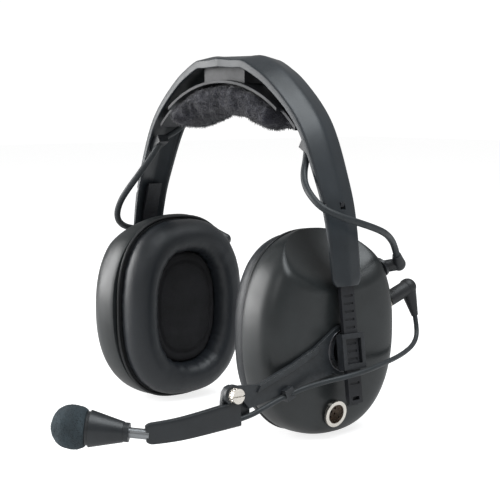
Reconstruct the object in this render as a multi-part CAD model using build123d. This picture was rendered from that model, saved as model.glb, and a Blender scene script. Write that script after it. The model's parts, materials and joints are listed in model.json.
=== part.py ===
"""Aviation headset: headband, two ear cups on sliding hangers, and a microphone on a hinged boom.

Millimetres. +X points to the wearer's left ear, which carries the microphone, -Y is the way the wearer
faces and +Z is up. The origin is the middle of the head pad's underside, where the headset rests on a head.
Each sub-part is one function, and main() writes each of them to parts/NODE.step.
"""

from build123d import *

import math
import os

# ---- Driving dimensions -------------------------------------------------------------------------------------
BAND_APEX = 30.0  # outer face of the headband above the head pad's underside
BAND_FLAT = 22.5  # half length of the flat top
BAND_END = (88.6, -116.0)  # end of an arm: distance from the middle, drop below the apex
BAND_HALF_WIDTH = 15.0
BAND_END_HALF_WIDTH = 9.4
BAND_CROWN = 4.0
BAND_TOP_CROWN = 0.3  # share of the crown that is left on the flat top
BAND_END_CROWN = 1.2
BAND_LIP = 4.6
BAND_END_LIP = 1.8
BAND_WALL = 1.8

SUSPENSION_RADIUS = 80.0
SUSPENSION_TOP = 16.4
SUSPENSION_THICK = 1.5
SUSPENSION_REACH = 57.2
SPACER_HALF = 17.0
PAD_THICK = SUSPENSION_TOP - SUSPENSION_THICK / 2
PAD_REACH = 50.0
PAD_HALF_WIDTH = 14.0

CUP_Z = -111.6  # middle of an ear cup
RIM_X = 56.7  # plane where the shell meets the ear seal
CAP_X = 81.7  # outer face of the shell
SHELL_WALL = 2.5
SEAL_FACE_X = 38.7  # ear seal's face against the head
SEAL_HALF_Y, SEAL_HALF_Z = 39.6, 49.8
EAR_HALF_Y, EAR_HALF_Z = 22.2, 32.0
BAFFLE_X = 54.8

PIVOT = (76.0, 0.0, -119.0)  # swivel and tilt axes of a cup cross here
BOOM_PIVOT_RADIUS = 9.5
STRAP_SLOPE = 0.125  # the size strap leans out by this much for each unit down
STRAP_THICK = 2.0
STRAP_HALF_WIDTH = 4.6
TOOTH_PITCH = 4.0
RUN = 0.05  # radial clearance of a running fit

BOOM_X = 82.25  # inner face of the boom bracket
BOOM_THICK = 2.05
BOOM_HINGE = (0.0, -72.2, -132.8)  # the thumbscrew's axis, along X
MIC_AXIS = Vector(-0.70, -0.7095, 0.084)
MIC_START = Vector(66.0, -120.1, -146.9)  # small end of the microphone housing
STEM_HALF = 2.5

EAR_CORD_DIAMETER = 3.6
MIC_CORD_DIAMETER = 2.6
CROSSOVER_DIAMETER = 3.2

# ---- Cord routes, each from the band or plug to its far end -----------------------------------------------------
LEFT_EAR_ROUTE = [
    (62.8, -6.4, -18.4),
    (64.6, -8.6, -23.6),
    (67.2, -12.6, -29.4),
    (72.6, -16.8, -35.4),
    (80.4, -19.2, -41.0),
    (87.4, -18.2, -46.4),
    (92.4, -10.4, -50.6),
    (93.4, 0.4, -53.8),
    (92.0, 12.0, -57.0),
    (88.0, 24.4, -60.6),
    (82.2, 35.0, -65.0),
    (77.6, 42.4, -69.8),
    (75.6, 46.0, -74.6),
]
RIGHT_EAR_ROUTE = [
    (-62.8, -6.4, -18.4),
    (-64.4, -8.8, -23.6),
    (-67.0, -12.6, -29.8),
    (-70.6, -16.4, -37.0),
    (-75.0, -20.0, -44.4),
    (-79.6, -22.6, -52.0),
    (-85.0, -21.4, -60.4),
    (-90.0, -14.6, -66.4),
    (-92.8, -4.0, -69.4),
    (-93.0, 8.0, -69.6),
    (-90.6, 20.6, -68.4),
    (-86.4, 32.6, -67.2),
    (-80.4, 41.6, -68.4),
    (-76.4, 45.8, -73.2),
]
MIC_ROUTE = [
    (70.0, 66.3, -109.4),
    (71.0, 66.8, -115.4),
    (73.6, 64.0, -120.8),
    (77.6, 56.6, -124.0),
    (82.2, 46.4, -125.6),
    (87.2, 35.0, -126.4),
    (92.2, 21.4, -127.0),
    (95.6, 7.0, -128.4),
    (96.0, -7.0, -129.8),
    (92.6, -19.6, -131.4),
    (88.0, -30.6, -134.0),
    (85.4, -42.0, -137.6),
    (84.3, -53.6, -141.6),
    (83.9, -62.4, -144.4),
    (83.2, -70.8, -145.5),
]
CROSSOVER_HALF_ROUTE = [
    (62.8, -6.4, -18.4),
    (63.0, -2.2, -14.9),
    (61.7, 3.8, -12.0),
    (57.6, 8.0, -7.4),
    (51.2, 8.4, 0.1),
    (43.6, 8.1, 7.3),
    (35.7, 8.4, 13.6),
    (27.0, 8.1, 19.6),
    (15.5, 7.8, 23.2),
]

ALONG_Y = (0, 1, 0)
ALONG_X = (1, 0, 0)


# ---- Helpers ----------------------------------------------------------------------------------------------------
def rod(start, end, radius, end_radius=None):
    """A round bar from one point to another, tapered when its end has a radius of its own."""
    axis = Vector(end) - Vector(start)
    place = Plane(origin=start, z_dir=axis)
    base = (Align.CENTER, Align.CENTER, Align.MIN)
    if end_radius is None:
        return place * Cylinder(radius, axis.length, align=base)
    return place * Cone(radius, end_radius, axis.length, align=base)


def x_rod(x_low, x_high, y, z, radius):
    """A round bar along X."""
    return rod((x_low, y, z), (x_high, y, z), radius)


def block(x_span, y_span, z_span):
    """A box given by its low and high value on each axis."""
    size = [high - low for low, high in (x_span, y_span, z_span)]
    middle = [(high + low) / 2 for low, high in (x_span, y_span, z_span)]
    return Pos(*middle) * Box(*size)


def mirrored(shape):
    """The same piece on the wearer's right."""
    return mirror(shape, about=Plane.YZ)


def oval(x, half_y, half_z, flat=3.4):
    """An ear-shaped outline around the cup's middle, in the plane of that x."""
    plane = Plane(origin=(x, 0, CUP_Z), x_dir=ALONG_Y, z_dir=ALONG_X)
    return plane * RectangleRounded(2 * half_y, 2 * half_z, half_y - flat)


def oval_plate(x_low, x_high, half_y, half_z, flat=3.4):
    """A flat plate of that outline."""
    return extrude(oval(x_low, half_y, half_z, flat), amount=x_high - x_low, dir=ALONG_X)


def route_radii(points):
    """The bend radius at each inner point of a cord's route: as large as its two runs allow."""
    radii = []
    for before, here, after in zip(points, points[1:], points[2:]):
        arriving = Vector(here) - Vector(before)
        leaving = Vector(after) - Vector(here)
        half_turn = math.radians(arriving.get_angle(leaving) / 2)
        radii.append(0.45 * min(arriving.length, leaving.length) / math.tan(half_turn))
    return radii


def cord_tube(name, points, diameter):
    """A cord: straight runs joined by tangent arcs."""
    radii = route_radii(points)
    path = FilletPolyline(*points, radius=radii)
    section = Plane(origin=path @ 0, z_dir=path % 0) * Circle(diameter / 2)
    tube = sweep(section, path=path)
    expected = math.pi * diameter**2 / 4 * path.length
    print(f"{name}: length {path.length:.1f}, volume {tube.volume:.0f} for {expected:.0f}")
    print("  radii", " ".join(f"{radius:.0f}" for radius in radii))
    return tube


# ---- Headband ---------------------------------------------------------------------------------------------------
def band_centreline():
    """Stations along the band's outer face, from the middle to an arm's end: (point, tangent) in X and Z."""
    shoulder = Spline(
        (BAND_FLAT, -0.3),
        (41.2, -9.9),
        (64.4, -32.5),
        (78.8, -64.0),
        (84.85, -86.0),
        tangents=[(0.92, -0.4), (STRAP_SLOPE, -1.0)],
    )
    stations = [(Vector(0, 0), Vector(1, 0)), (Vector(0.8 * BAND_FLAT, 0), Vector(1, 0))]
    count = 11
    for step in range(count + 1):
        stations.append((shoulder @ (step / count), shoulder % (step / count)))
    arm_end = Vector(*BAND_END)
    stations.append((arm_end, (arm_end - shoulder @ 1).normalized()))
    return stations


def band_section(point, tangent, share):
    """Closed outline of the crowned channel at one station. share runs from 0 at the middle to 1 at the end."""
    half = BAND_HALF_WIDTH - (BAND_HALF_WIDTH - BAND_END_HALF_WIDTH) * share**0.7
    crown = BAND_CROWN + (BAND_END_CROWN - BAND_CROWN) * share
    crown *= min(1.0, BAND_TOP_CROWN + 3.5 * share)
    lip = BAND_LIP + (BAND_END_LIP - BAND_LIP) * share
    inner = half - BAND_WALL
    outline = [(half * side, -crown * side**2) for side in (-1, -0.5, 0, 0.5, 1)]
    outline += [(half, -crown - lip), (inner, -crown - lip)]
    outline += [(inner * side, -BAND_WALL - crown * side**2) for side in (1, 0.5, 0, -0.5, -1)]
    outline += [(-inner, -crown - lip), (-half, -crown - lip)]
    normal = Vector(-tangent.Y, tangent.X)
    corners = [
        Vector(point.X + normal.X * depth, across, BAND_APEX + point.Y + normal.Y * depth)
        for across, depth in outline
    ]
    return Wire.make_polygon(corners, close=True)


def outer_band():
    """Moulded band: a crowned channel that runs over the head and down to both arms' ends."""
    stations = band_centreline()
    travelled = [0.0]
    for (before, _), (here, _) in zip(stations, stations[1:]):
        travelled.append(travelled[-1] + (here - before).length)
    sections = [
        band_section(point, tangent, distance / travelled[-1])
        for (point, tangent), distance in zip(stations, travelled)
    ]
    pieces = [Solid.make_loft(pair, ruled=True) for pair in zip(sections, sections[1:])]
    half = pieces[0].fuse(*pieces[1:])
    window = Pos(80, 0, -45) * Rot(0, 17, 0) * Box(14, 3.4, 3.2)
    notch = Pos(80.0, -BAND_END_HALF_WIDTH - 0.8, -46.5) * Box(2.4, 2.4, 2.6)
    half = half - window - notch
    return half + mirrored(half)


def suspension_arc(radius, reach, half_width):
    """A band of the suspension's curvature: everything inside that radius, as far out as reach."""
    centre_z = SUSPENSION_TOP - SUSPENSION_RADIUS
    drum = Plane(origin=(0, half_width, centre_z), z_dir=(0, -1, 0)) * Cylinder(
        radius, 2 * half_width, align=(Align.CENTER, Align.CENTER, Align.MIN)
    )
    return drum & block((-reach, reach), (-half_width, half_width), (centre_z + 20, BAND_APEX))


def suspension_strap():
    """Thin flexible strap that hangs inside the band and carries the head pad."""
    outer = suspension_arc(SUSPENSION_RADIUS + SUSPENSION_THICK / 2, SUSPENSION_REACH, 12.6)
    inner = suspension_arc(SUSPENSION_RADIUS - SUSPENSION_THICK / 2, SUSPENSION_REACH + 1, 13.6)
    strap = outer - inner
    for side in (-1, 1):
        far, near = sorted((side * (SUSPENSION_REACH + 2), side * 46.0))
        strap -= block((far, near), (4.2, 14), (-20, 12))
        strap -= block((far, near), (-14, -9.6), (-20, 12))
    return strap


def strap_post(band, strap):
    """Rivet that holds one end of the suspension strap to the inside of the band."""
    outward = Vector(0.72, 0, 0.69)
    foot = Vector(56.0, -2.5, SUSPENSION_TOP - SUSPENSION_RADIUS + 57.2)
    pieces = rod(foot, foot + outward * 12.0, 2.6) - band - strap
    return pieces.solids().sort_by(Axis.Z)[0]


def suspension_spacer(band, strap):
    """Black block that fills the gap between the band's flat top and the suspension strap."""
    body = block((-SPACER_HALF, SPACER_HALF), (-9.5, 5.6), (SUSPENSION_TOP - 6, BAND_APEX))
    pieces = body - band - strap
    return pieces.solids().sort_by(SortBy.VOLUME)[-1]


def head_pad():
    """Soft pad under the suspension strap."""
    outer = suspension_arc(SUSPENSION_RADIUS - SUSPENSION_THICK / 2, PAD_REACH, PAD_HALF_WIDTH)
    inner = suspension_arc(
        SUSPENSION_RADIUS - SUSPENSION_THICK / 2 - PAD_THICK, PAD_REACH + 1, PAD_HALF_WIDTH + 1
    )
    return outer - inner


def strap_middle_x(z):
    """Distance of the size strap's middle plane from the centre, at that height."""
    return 85.1 + STRAP_SLOPE * (-86.0 - z)


def strap_plane():
    """Frame of a size strap where it passes the pivot: local x faces out, local z runs up the strap."""
    lean = Vector(-STRAP_SLOPE, 0, 1).normalized()
    origin = (strap_middle_x(PIVOT[2]), 0, PIVOT[2])
    return Plane(origin=origin, x_dir=(lean.Z, 0, -lean.X), z_dir=lean)


def local_block(plane, x_span, y_span, z_span):
    """A box in that frame."""
    return plane * block(x_span, y_span, z_span)


RIVET_HEIGHTS = (-66.0, -76.0)
OUTWARD = Vector(1, 0, STRAP_SLOPE).normalized()


def size_strap():
    """Ratchet strap fixed inside an arm's end, with a row of notches for the hanger's pawl."""
    knee_z, top_z = -60.0, -42.0
    knee = (strap_middle_x(knee_z), knee_z)
    top = (knee[0] - 0.3 * (top_z - knee_z), top_z)
    foot = (strap_middle_x(-145.0), -145.0)
    half = STRAP_THICK / 2
    corners = [(x + half, z) for x, z in (foot, knee, top)]
    corners += [(x - half, z) for x, z in (top, knee, foot)]
    side = Plane.XZ * make_face(Polyline(*corners, close=True))
    strap = extrude(side, amount=STRAP_HALF_WIDTH, both=True)
    plane = strap_plane()
    for step in range(-4, 8):
        middle = step * TOOTH_PITCH
        strap -= local_block(plane, (half - 0.5, half + 1), (-3.2, 3.2), (middle - 0.6, middle + 0.6))
    strap -= local_block(plane, (-3, 3), (-2.4, 2.4), (-24.6, -22.8))
    tab = Pos(80.3, 0, -45) * Rot(0, 17, 0) * Box(4.4, 2.6, 2.4)
    for z in RIVET_HEIGHTS:
        foot = Vector(strap_middle_x(z), 0, z)
        strap -= rod(foot - OUTWARD * 3, foot + OUTWARD * 3, 1.2)
    return strap + tab


def size_strap_rivets(band):
    """Two rivets that hold a size strap inside its arm, with their heads on the inside."""
    rivets = []
    for z in RIVET_HEIGHTS:
        foot = Vector(strap_middle_x(z), 0, z)
        back = foot - OUTWARD * (STRAP_THICK / 2)
        rivet = rod(back, foot + OUTWARD * 4, 1.2) + rod(back - OUTWARD * 0.8, back, 2.1)
        rivets.append((rivet - band).solids().sort_by(Axis.X)[0])
    return Compound(rivets)


def cable_clip(band, cord, crossover, side):
    """Clip inside the front lip, where the ear cord leaves the band."""
    body = Pos(side * 65.4, -5.6, -18.2) * Rot(0, side * 30, 0) * Box(12.0, 6.6, 4.4)
    pieces = body - band - cord - crossover
    return pieces.solids().sort_by(SortBy.VOLUME)[-1]


def crossover_route():
    """Route of the lead that runs through the band from one ear cord to the other."""
    far_side = [(-x, y, z) for x, y, z in reversed(CROSSOVER_HALF_ROUTE)]
    return CROSSOVER_HALF_ROUTE + [(0.0, 8.1, 23.9)] + far_side


# ---- Hanger, knuckle and pivot ----------------------------------------------------------------------------------
HANGER_HALF_HEIGHT = 9.0
HANGER_BACK_X = 86.0
CHANNEL_HALF = STRAP_THICK / 2 + 0.12
STEM_RADIUS = 3.4
EAR_PIN_RADIUS = 1.25
TRUNNION_RADIUS = 1.6


def hanger():
    """Buckle that rides on the size strap, with a stem that carries the cup."""
    plane = strap_plane()
    x, y, z = PIVOT
    frame = local_block(plane, (-2.1, 2.5), (-7.5, 7.5), (-HANGER_HALF_HEIGHT, HANGER_HALF_HEIGHT))
    frame += block((HANGER_BACK_X, HANGER_BACK_X + 2), (-6.2, 6.2), (z - 8.8, z + 8.4))
    frame += local_block(plane, (-2.7, -CHANNEL_HALF), (-3.6, 3.6), (-27.5, -HANGER_HALF_HEIGHT + 1))
    frame -= local_block(plane, (-CHANNEL_HALF, CHANNEL_HALF), (-4.75, 4.75), (-30, 30))
    frame -= local_block(plane, (0, 4), (-5.2, 5.2), (-6.2, 6.4))
    frame -= local_block(plane, (-1.9, 0), (-3.2, 3.2), (-6.4, 6.4))
    frame -= local_block(plane, (-5, 0), (-1.0, 1.0), (-23, -17))
    stem = x_rod(x + 6.0, HANGER_BACK_X + 0.4, y, z, STEM_RADIUS)
    stem += block((x + 4.4, x + 6.2), (-3, 3), (z - 5.5, z + 5.5))
    for low, high in ((3.5, 5.5), (-5.5, -3.5)):
        ear = block((x - 3.0, x + 5), (-3, 3), (z + low, z + high))
        stem += ear
    stem -= rod((x, y, z - 8), (x, y, z + 8), EAR_PIN_RADIUS)
    return frame + stem


def hanger_pawl():
    """Leaf spring in the hanger's pocket that presses on the back of the strap."""
    plane = strap_plane()
    leaf = local_block(plane, (-1.85, -1.35), (-3.0, 3.0), (-6.2, 6.2))
    nose = local_block(plane, (-1.4, -STRAP_THICK / 2 - 0.02), (-3.0, 3.0), (-0.8, 0.8))
    return leaf + nose


def swivel_pin():
    """Upright pin through the hanger's ears, on which the knuckle turns."""
    x, y, z = PIVOT
    return rod((x, y, z - 5.5), (x, y, z + 5.5), EAR_PIN_RADIUS)


def knuckle():
    """Block on the swivel pin, with two trunnions on which the cup tilts."""
    x, y, z = PIVOT
    body = block((x - 3.5, x + 3.5), (-5.5, 5.5), (z - 3.2, z + 3.2))
    body += rod((x, -10.4, z), (x, 10.4, z), TRUNNION_RADIUS)
    return body - rod((x, y, z - 8), (x, y, z + 8), EAR_PIN_RADIUS + RUN)


def pivot_socket():
    """Round insert in the cup: it holds the trunnions, and its boss stands out for the boom."""
    x, y, z = PIVOT
    body = x_rod(x - 8.0, CAP_X - SHELL_WALL, y, z, 12.0)
    body += x_rod(x - 8.0, 84.8, y, z, BOOM_PIVOT_RADIUS)
    body -= x_rod(x - 6.0, 90.0, y, z, 7.8)
    return body - rod((x, -14, z), (x, 14, z), TRUNNION_RADIUS + RUN)


# ---- Ear cup ----------------------------------------------------------------------------------------------------
RECESS_RADIUS = 90.0
RECESS_CENTRE = (138.0, 0.0, CUP_Z + 95.6)
POST_Y, POST_Z = 27.0, 34.2
JACK_AXIS = Vector(0, 0.94, 0.34)
JACK_SEAT = Vector(67.0, 43.2, -101.4)
SOCKET_AXIS = Vector(math.cos(math.radians(10)), 0, -math.sin(math.radians(10)))
SOCKET_SEAT = Vector(81.2, -4.4, -151.2)
SOCKET_DEPTH = 1.6  # from the seat in to the contact insert
GLAND_AXIS = Vector(0, 0.91, 0.415)
GLAND_SEAT = Vector(67.0, 39.4, -83.2)


def cup_stack(inset, top):
    """Deep rounded bowl from the rim to the cap, drawn in by inset all round and cut off at top."""
    profile = [(RIM_X, 43.2, 52.1), (68.0, 43.4, 52.0), (75.0, 42.0, 50.6), (79.0, 38.8, 47.4)]
    profile += [(81.0, 33.8, 42.6), (CAP_X, 25.8, 34.6)]
    drop = CAP_X - top
    sections = [
        oval(x - (drop if x > RIM_X else 0), half_y - inset, half_z - inset)
        for x, half_y, half_z in profile
    ]
    return loft(sections, ruled=True)


def cup_bowl():
    """Solid outer shape of the shell, with the dished recess that clears the arm."""
    return cup_stack(0.0, CAP_X) - Pos(*RECESS_CENTRE) * Sphere(RECESS_RADIUS)


def cup_shell():
    """Hollow hard shell with four screw posts and the hole for the pivot's boss."""
    bowl = cup_bowl()
    cavity = cup_stack(SHELL_WALL, CAP_X - SHELL_WALL)
    cavity -= Pos(*RECESS_CENTRE) * Sphere(RECESS_RADIUS + SHELL_WALL)
    shell = bowl - cavity
    for side_y in (-1, 1):
        for side_z in (-1, 1):
            post = x_rod(60.0, CAP_X, side_y * POST_Y, CUP_Z + side_z * POST_Z, 3.4)
            shell += post & bowl
    for y, z in screw_places():
        shell -= x_rod(55.0, 70.0, y, z, 1.4)
    return shell - x_rod(70.0, 90.0, 0, PIVOT[2], BOOM_PIVOT_RADIUS)


def screw_places():
    """Where the four baffle screws are, in Y and Z."""
    return [(y * POST_Y, CUP_Z + z * POST_Z) for y in (-1, 1) for z in (-1, 1)]


def gland_hole():
    """Hole in the shell for the ear cord's gland."""
    return rod(GLAND_SEAT - GLAND_AXIS * 8, GLAND_SEAT + GLAND_AXIS * 8, 3.0)


def left_cup_shell():
    """Shell with seats for the microphone jack and the down lead's socket."""
    shell = cup_shell() - gland_hole()
    bowl = cup_bowl()
    jack_boss = rod(JACK_SEAT - JACK_AXIS * 3, JACK_SEAT + JACK_AXIS * 2.2, 5.6)
    socket_boss = rod(SOCKET_SEAT - SOCKET_AXIS * 3, SOCKET_SEAT + SOCKET_AXIS * 1.0, 7.6)
    shell += jack_boss - (bowl - shell)
    shell += socket_boss
    shell -= rod(JACK_SEAT - JACK_AXIS * 10, JACK_SEAT + JACK_AXIS * 6, 3.2)
    return shell - rod(SOCKET_SEAT - SOCKET_AXIS * 12, SOCKET_SEAT + SOCKET_AXIS * 6, 6.0)


def baffle():
    """Plate that closes the shell, holds the speaker and carries the ear seal."""
    plate = oval_plate(BAFFLE_X, RIM_X, 41.4, 50.4)
    step = oval_plate(RIM_X, RIM_X + 1.8, 40.5, 49.4)
    plate += step - Pos(*RECESS_CENTRE) * Sphere(RECESS_RADIUS + SHELL_WALL)
    for y, z in screw_places():
        plate -= x_rod(50, 64, y, z, 1.4)
    for ring, holes in ((0.0, 1), (5.0, 6), (10.0, 12)):
        for step in range(holes):
            turn = 2 * math.pi * step / holes
            y, z = ring * math.cos(turn), CUP_Z + ring * math.sin(turn)
            plate -= x_rod(50, 64, y, z, 1.5)
    for y in (-11.0, 11.0):
        for z in (-136.5, -151.0):
            plate += x_rod(RIM_X + 1, 66.0, y, z, 2.0)
    return plate


def ear_seal():
    """Soft ring that seals around the ear."""
    ring = oval_plate(SEAL_FACE_X, BAFFLE_X, SEAL_HALF_Y, SEAL_HALF_Z)
    return ring - oval_plate(SEAL_FACE_X - 1, BAFFLE_X + 1, EAR_HALF_Y, EAR_HALF_Z, 0.5)


def foam_liner():
    """Acoustic foam that covers the speaker inside the ear opening."""
    return oval_plate(47.0, 50.6, EAR_HALF_Y - 0.3, EAR_HALF_Z - 0.3, 0.5)


def speaker():
    """Driver behind the baffle, with its magnet."""
    first = RIM_X + 1.8
    return x_rod(first, first + 5, 0, CUP_Z, 19.0) + x_rod(first + 5, 67.4, 0, CUP_Z, 11.0)


def sensing_mic():
    """Small microphone in front of the speaker that the noise cancelling listens with."""
    return x_rod(BAFFLE_X - 3.6, BAFFLE_X, 0, CUP_Z - 17, 3.0)


def circuit_board():
    """Noise-cancelling board on the baffle's four standoffs."""
    board = block((66.0, 67.6), (-15, 15), (-154.5, -133.0))
    board += block((67.6, 69.8), (-7, 3), (-150.0, -141.0))
    return board + block((67.6, 69.0), (6, 11), (-152.0, -137.0))


def baffle_screws():
    """Four screws that hold the baffle to the shell's posts."""
    screws = []
    for y, z in screw_places():
        screws.append(x_rod(BAFFLE_X, 68.0, y, z, 1.4))
    return Compound(screws)


def cord_gland(route, shell):
    """Flanged elbow and tapered strain relief where an ear cord enters its cup, in line with the cord's end."""
    flange = GLAND_SEAT + GLAND_AXIS * 3.0
    tip = Vector(*route[-1])
    elbow = tip + (tip - Vector(*route[-2])).normalized() * 7.0
    body = rod(GLAND_SEAT - GLAND_AXIS * 4, flange, 3.0)
    body += rod(flange - GLAND_AXIS * 0.4, flange + GLAND_AXIS * 1.4, 5.4)
    body += rod(flange + GLAND_AXIS * 1.0, elbow, 3.3)
    body += Pos(elbow) * Sphere(3.7)
    body += rod(elbow, tip, 3.7, EAR_CORD_DIAMETER / 2 + 0.5)
    return body - shell


# ---- Fittings on the left cup -----------------------------------------------------------------------------------
def mic_jack():
    """Threaded panel jack for the boom microphone's plug, with its nut."""
    jack = rod(JACK_SEAT - JACK_AXIS * 8, JACK_SEAT + JACK_AXIS * 5.0, 3.2)
    nut = Plane(origin=JACK_SEAT + JACK_AXIS * 2.2, z_dir=JACK_AXIS) * extrude(
        RegularPolygon(4.9, 6), amount=1.8
    )
    return (jack + nut) - rod(JACK_SEAT - JACK_AXIS * 6, JACK_SEAT + JACK_AXIS * 6, 1.75)


def mic_plug():
    """Right-angle plug of the microphone cord, with a tapered relief."""
    face = JACK_SEAT + JACK_AXIS * 5.0
    elbow = JACK_SEAT + JACK_AXIS * 21.5
    tip = Vector(*MIC_ROUTE[0])
    plug = rod(JACK_SEAT - JACK_AXIS * 5, face, 1.7)
    plug += rod(face, elbow, 4.2)
    plug += Pos(elbow) * Sphere(4.8)
    return plug + rod(elbow, tip, 4.6, MIC_CORD_DIAMETER / 2 + 0.5)


def down_lead_socket():
    """Round metal socket for the detachable down lead."""
    socket = rod(SOCKET_SEAT - SOCKET_AXIS * 6, SOCKET_SEAT + SOCKET_AXIS * 1.0, 6.0)
    socket += rod(SOCKET_SEAT + SOCKET_AXIS * 1.0, SOCKET_SEAT + SOCKET_AXIS * 2.4, 6.9)
    socket -= rod(SOCKET_SEAT - SOCKET_AXIS * SOCKET_DEPTH, SOCKET_SEAT + SOCKET_AXIS * 3, 5.0)
    return socket - rod(SOCKET_SEAT - SOCKET_AXIS * 7, SOCKET_SEAT - SOCKET_AXIS * SOCKET_DEPTH, 5.4)


def socket_contacts():
    """Insulator in the socket's floor with six contact holes round a key hole."""
    plane = Plane(origin=SOCKET_SEAT - SOCKET_AXIS * 5.6, z_dir=SOCKET_AXIS)
    insert = rod(SOCKET_SEAT - SOCKET_AXIS * 6, SOCKET_SEAT - SOCKET_AXIS * SOCKET_DEPTH, 5.4)
    holes = [plane * Pos(X=0, Y=0) * Cylinder(0.9, 10, align=(Align.CENTER, Align.CENTER, Align.MIN))]
    for place in PolarLocations(2.9, 6):
        holes.append(plane * place * Cylinder(0.6, 10, align=(Align.CENTER, Align.CENTER, Align.MIN)))
    for hole in holes:
        insert -= hole
    return insert


def boom_washer():
    """Friction washer between the cup's cap and the boom bracket."""
    y, z = PIVOT[1:]
    return x_rod(CAP_X, BOOM_X, y, z, 12.5) - x_rod(CAP_X - 1, BOOM_X + 1, y, z, BOOM_PIVOT_RADIUS)


def boom_retainer():
    """Snap ring that keeps the boom bracket on the pivot's boss."""
    y, z = PIVOT[1:]
    low = BOOM_X + BOOM_THICK + 0.02
    return x_rod(low, 84.8, y, z, 11.0) - x_rod(low - 1, 86, y, z, BOOM_PIVOT_RADIUS)


# ---- Boom and microphone ----------------------------------------------------------------------------------------
def boom_bracket():
    """Fan-shaped plate that turns on the cup and reaches forward to the thumbscrew."""
    y, z = PIVOT[1:]
    upper = [(-6.5, -107.8), (-19.5, -115.7), (-35.4, -122.4), (-56.0, -129.7), (-64.0, -129.0), (-71.0, -128.6)]
    lower = [(-71.0, -136.2), (-66.6, -136.0), (-62.5, -140.6), (-44.0, -137.0), (-26.0, -133.2), (-8.0, -130.6)]
    outline = make_face(Polyline(*upper, *lower, close=True))
    plane = Plane(origin=(BOOM_X, 0, 0), x_dir=ALONG_Y, z_dir=ALONG_X)
    plate = extrude(plane * outline, amount=BOOM_THICK)
    plate += x_rod(BOOM_X, BOOM_X + BOOM_THICK, y, z, 13.0)
    plate += x_rod(BOOM_X, BOOM_X + BOOM_THICK, BOOM_HINGE[1], BOOM_HINGE[2], 5.0)
    rib = [(-18.0, -115.4), (-35.4, -122.8), (-56.0, -130.1)]
    rib += [(-58.0, -133.2), (-35.4, -125.6), (-18.0, -118.4)]
    raised = Plane(origin=(BOOM_X + BOOM_THICK, 0, 0), x_dir=ALONG_Y, z_dir=ALONG_X)
    plate += extrude(raised * make_face(Polyline(*rib, close=True)), amount=0.9)
    plate -= x_rod(BOOM_X - 1, BOOM_X + BOOM_THICK + 1, y, z, BOOM_PIVOT_RADIUS + RUN)
    return plate - x_rod(70, 95, BOOM_HINGE[1], BOOM_HINGE[2], 1.5 + RUN)


def boom_clip(cord, bracket):
    """Clip on the bracket's lower edge that holds the microphone cord."""
    body = Pos(85.0, -39.0, -136.2) * Rot(20, 0, 0) * Box(5.0, 5.4, 5.8)
    return body - cord - bracket


def boom_blade():
    """Front half of the boom: a ridged blade that curves in towards the mouth."""
    middles = [
        Vector(82.4, -68.5, -142.0),
        Vector(82.0, -79.0, -143.0),
        Vector(80.6, -90.0, -144.4),
        Vector(78.2, -100.0, -145.8),
        Vector(75.0, -108.0, -146.7),
        Vector(71.5, -114.8, -147.3),
    ]
    sections = []
    for index, middle in enumerate(middles):
        share = index / (len(middles) - 1)
        before = middles[max(index - 1, 0)]
        after = middles[min(index + 1, len(middles) - 1)]
        along = (after - before).normalized()
        out = Vector(-along.Y, along.X, 0).normalized() * -1
        up = along.cross(out) * -1
        half_height = 6.2 - 1.2 * share
        thick = 2.7 - 0.3 * share
        outline = [(0.25, thick), (1.0, 0.3 * thick), (1.0, -thick), (-1.0, -thick), (-1.0, 0.3 * thick)]
        corners = [middle + up * (rise * half_height) + out * side for rise, side in outline]
        sections.append(Wire.make_polygon(corners, close=True))
    pieces = [Solid.make_loft(pair, ruled=True) for pair in zip(sections, sections[1:])]
    blade = pieces[0].fuse(*pieces[1:])
    lug_plane = Plane(origin=(79.6, 0, 0), x_dir=ALONG_Y, z_dir=ALONG_X)
    lug = [(-60.0, -139.4), (-67.2, -129.2), (-74.2, -128.2), (-78.6, -136.8), (-79.0, -148.6)]
    lug += [(-68.0, -147.4), (-60.0, -145.2)]
    blade += extrude(lug_plane * make_face(Polyline(*lug, close=True)), amount=2.5)
    hinge_y, hinge_z = BOOM_HINGE[1:]
    blade -= x_rod(82.1, 90, hinge_y, hinge_z, 5.6)
    blade -= x_rod(70, 95, hinge_y, hinge_z, 1.5 + RUN)
    blade -= rod(MIC_START - MIC_AXIS * 11, MIC_START + MIC_AXIS * 2, STEM_HALF + RUN)
    return blade - rod(MIC_ROUTE[-1], MIC_ROUTE[-2], 1.8)


def thumbscrew():
    """Knurled screw that locks the boom's hinge."""
    y, z = BOOM_HINGE[1:]
    seat = BOOM_X + BOOM_THICK
    head = x_rod(seat, seat + 3.8, y, z, 3.7)
    flutes = 14
    for step in range(flutes):
        turn = 2 * math.pi * step / flutes
        head -= x_rod(seat + 0.8, seat + 3.2, y + 4.0 * math.cos(turn), z + 4.0 * math.sin(turn), 0.55)
    head -= block((seat + 3.0, seat + 4.0), (y - 5, y + 5), (z - 0.4, z + 0.4))
    return head + x_rod(79.7, seat, y, z, 1.5)


def mic_point(distance):
    """Point on the microphone's axis, that far from the housing's small end."""
    return MIC_START + MIC_AXIS * distance


def mic_stem():
    """Round stem that turns in the blade's end."""
    return rod(mic_point(-9.5), mic_point(2.0), STEM_HALF)


def mic_housing():
    """Tapered housing with a stepped nose that takes the windscreen."""
    body = rod(mic_point(0), mic_point(2.6), 4.6)
    body += rod(mic_point(2.6), mic_point(18.4), 4.9, 8.8)
    body += rod(mic_point(18.4), mic_point(20.0), 8.0)
    body += rod(mic_point(20.0), mic_point(25.0), 6.9)
    body -= rod(mic_point(-1), mic_point(2.0), STEM_HALF)
    return body - rod(mic_point(18.6), mic_point(26.0), 5.8)


def mic_capsule():
    """Electret capsule inside the housing's nose."""
    return rod(mic_point(18.6), mic_point(24.0), 5.7)


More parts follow.
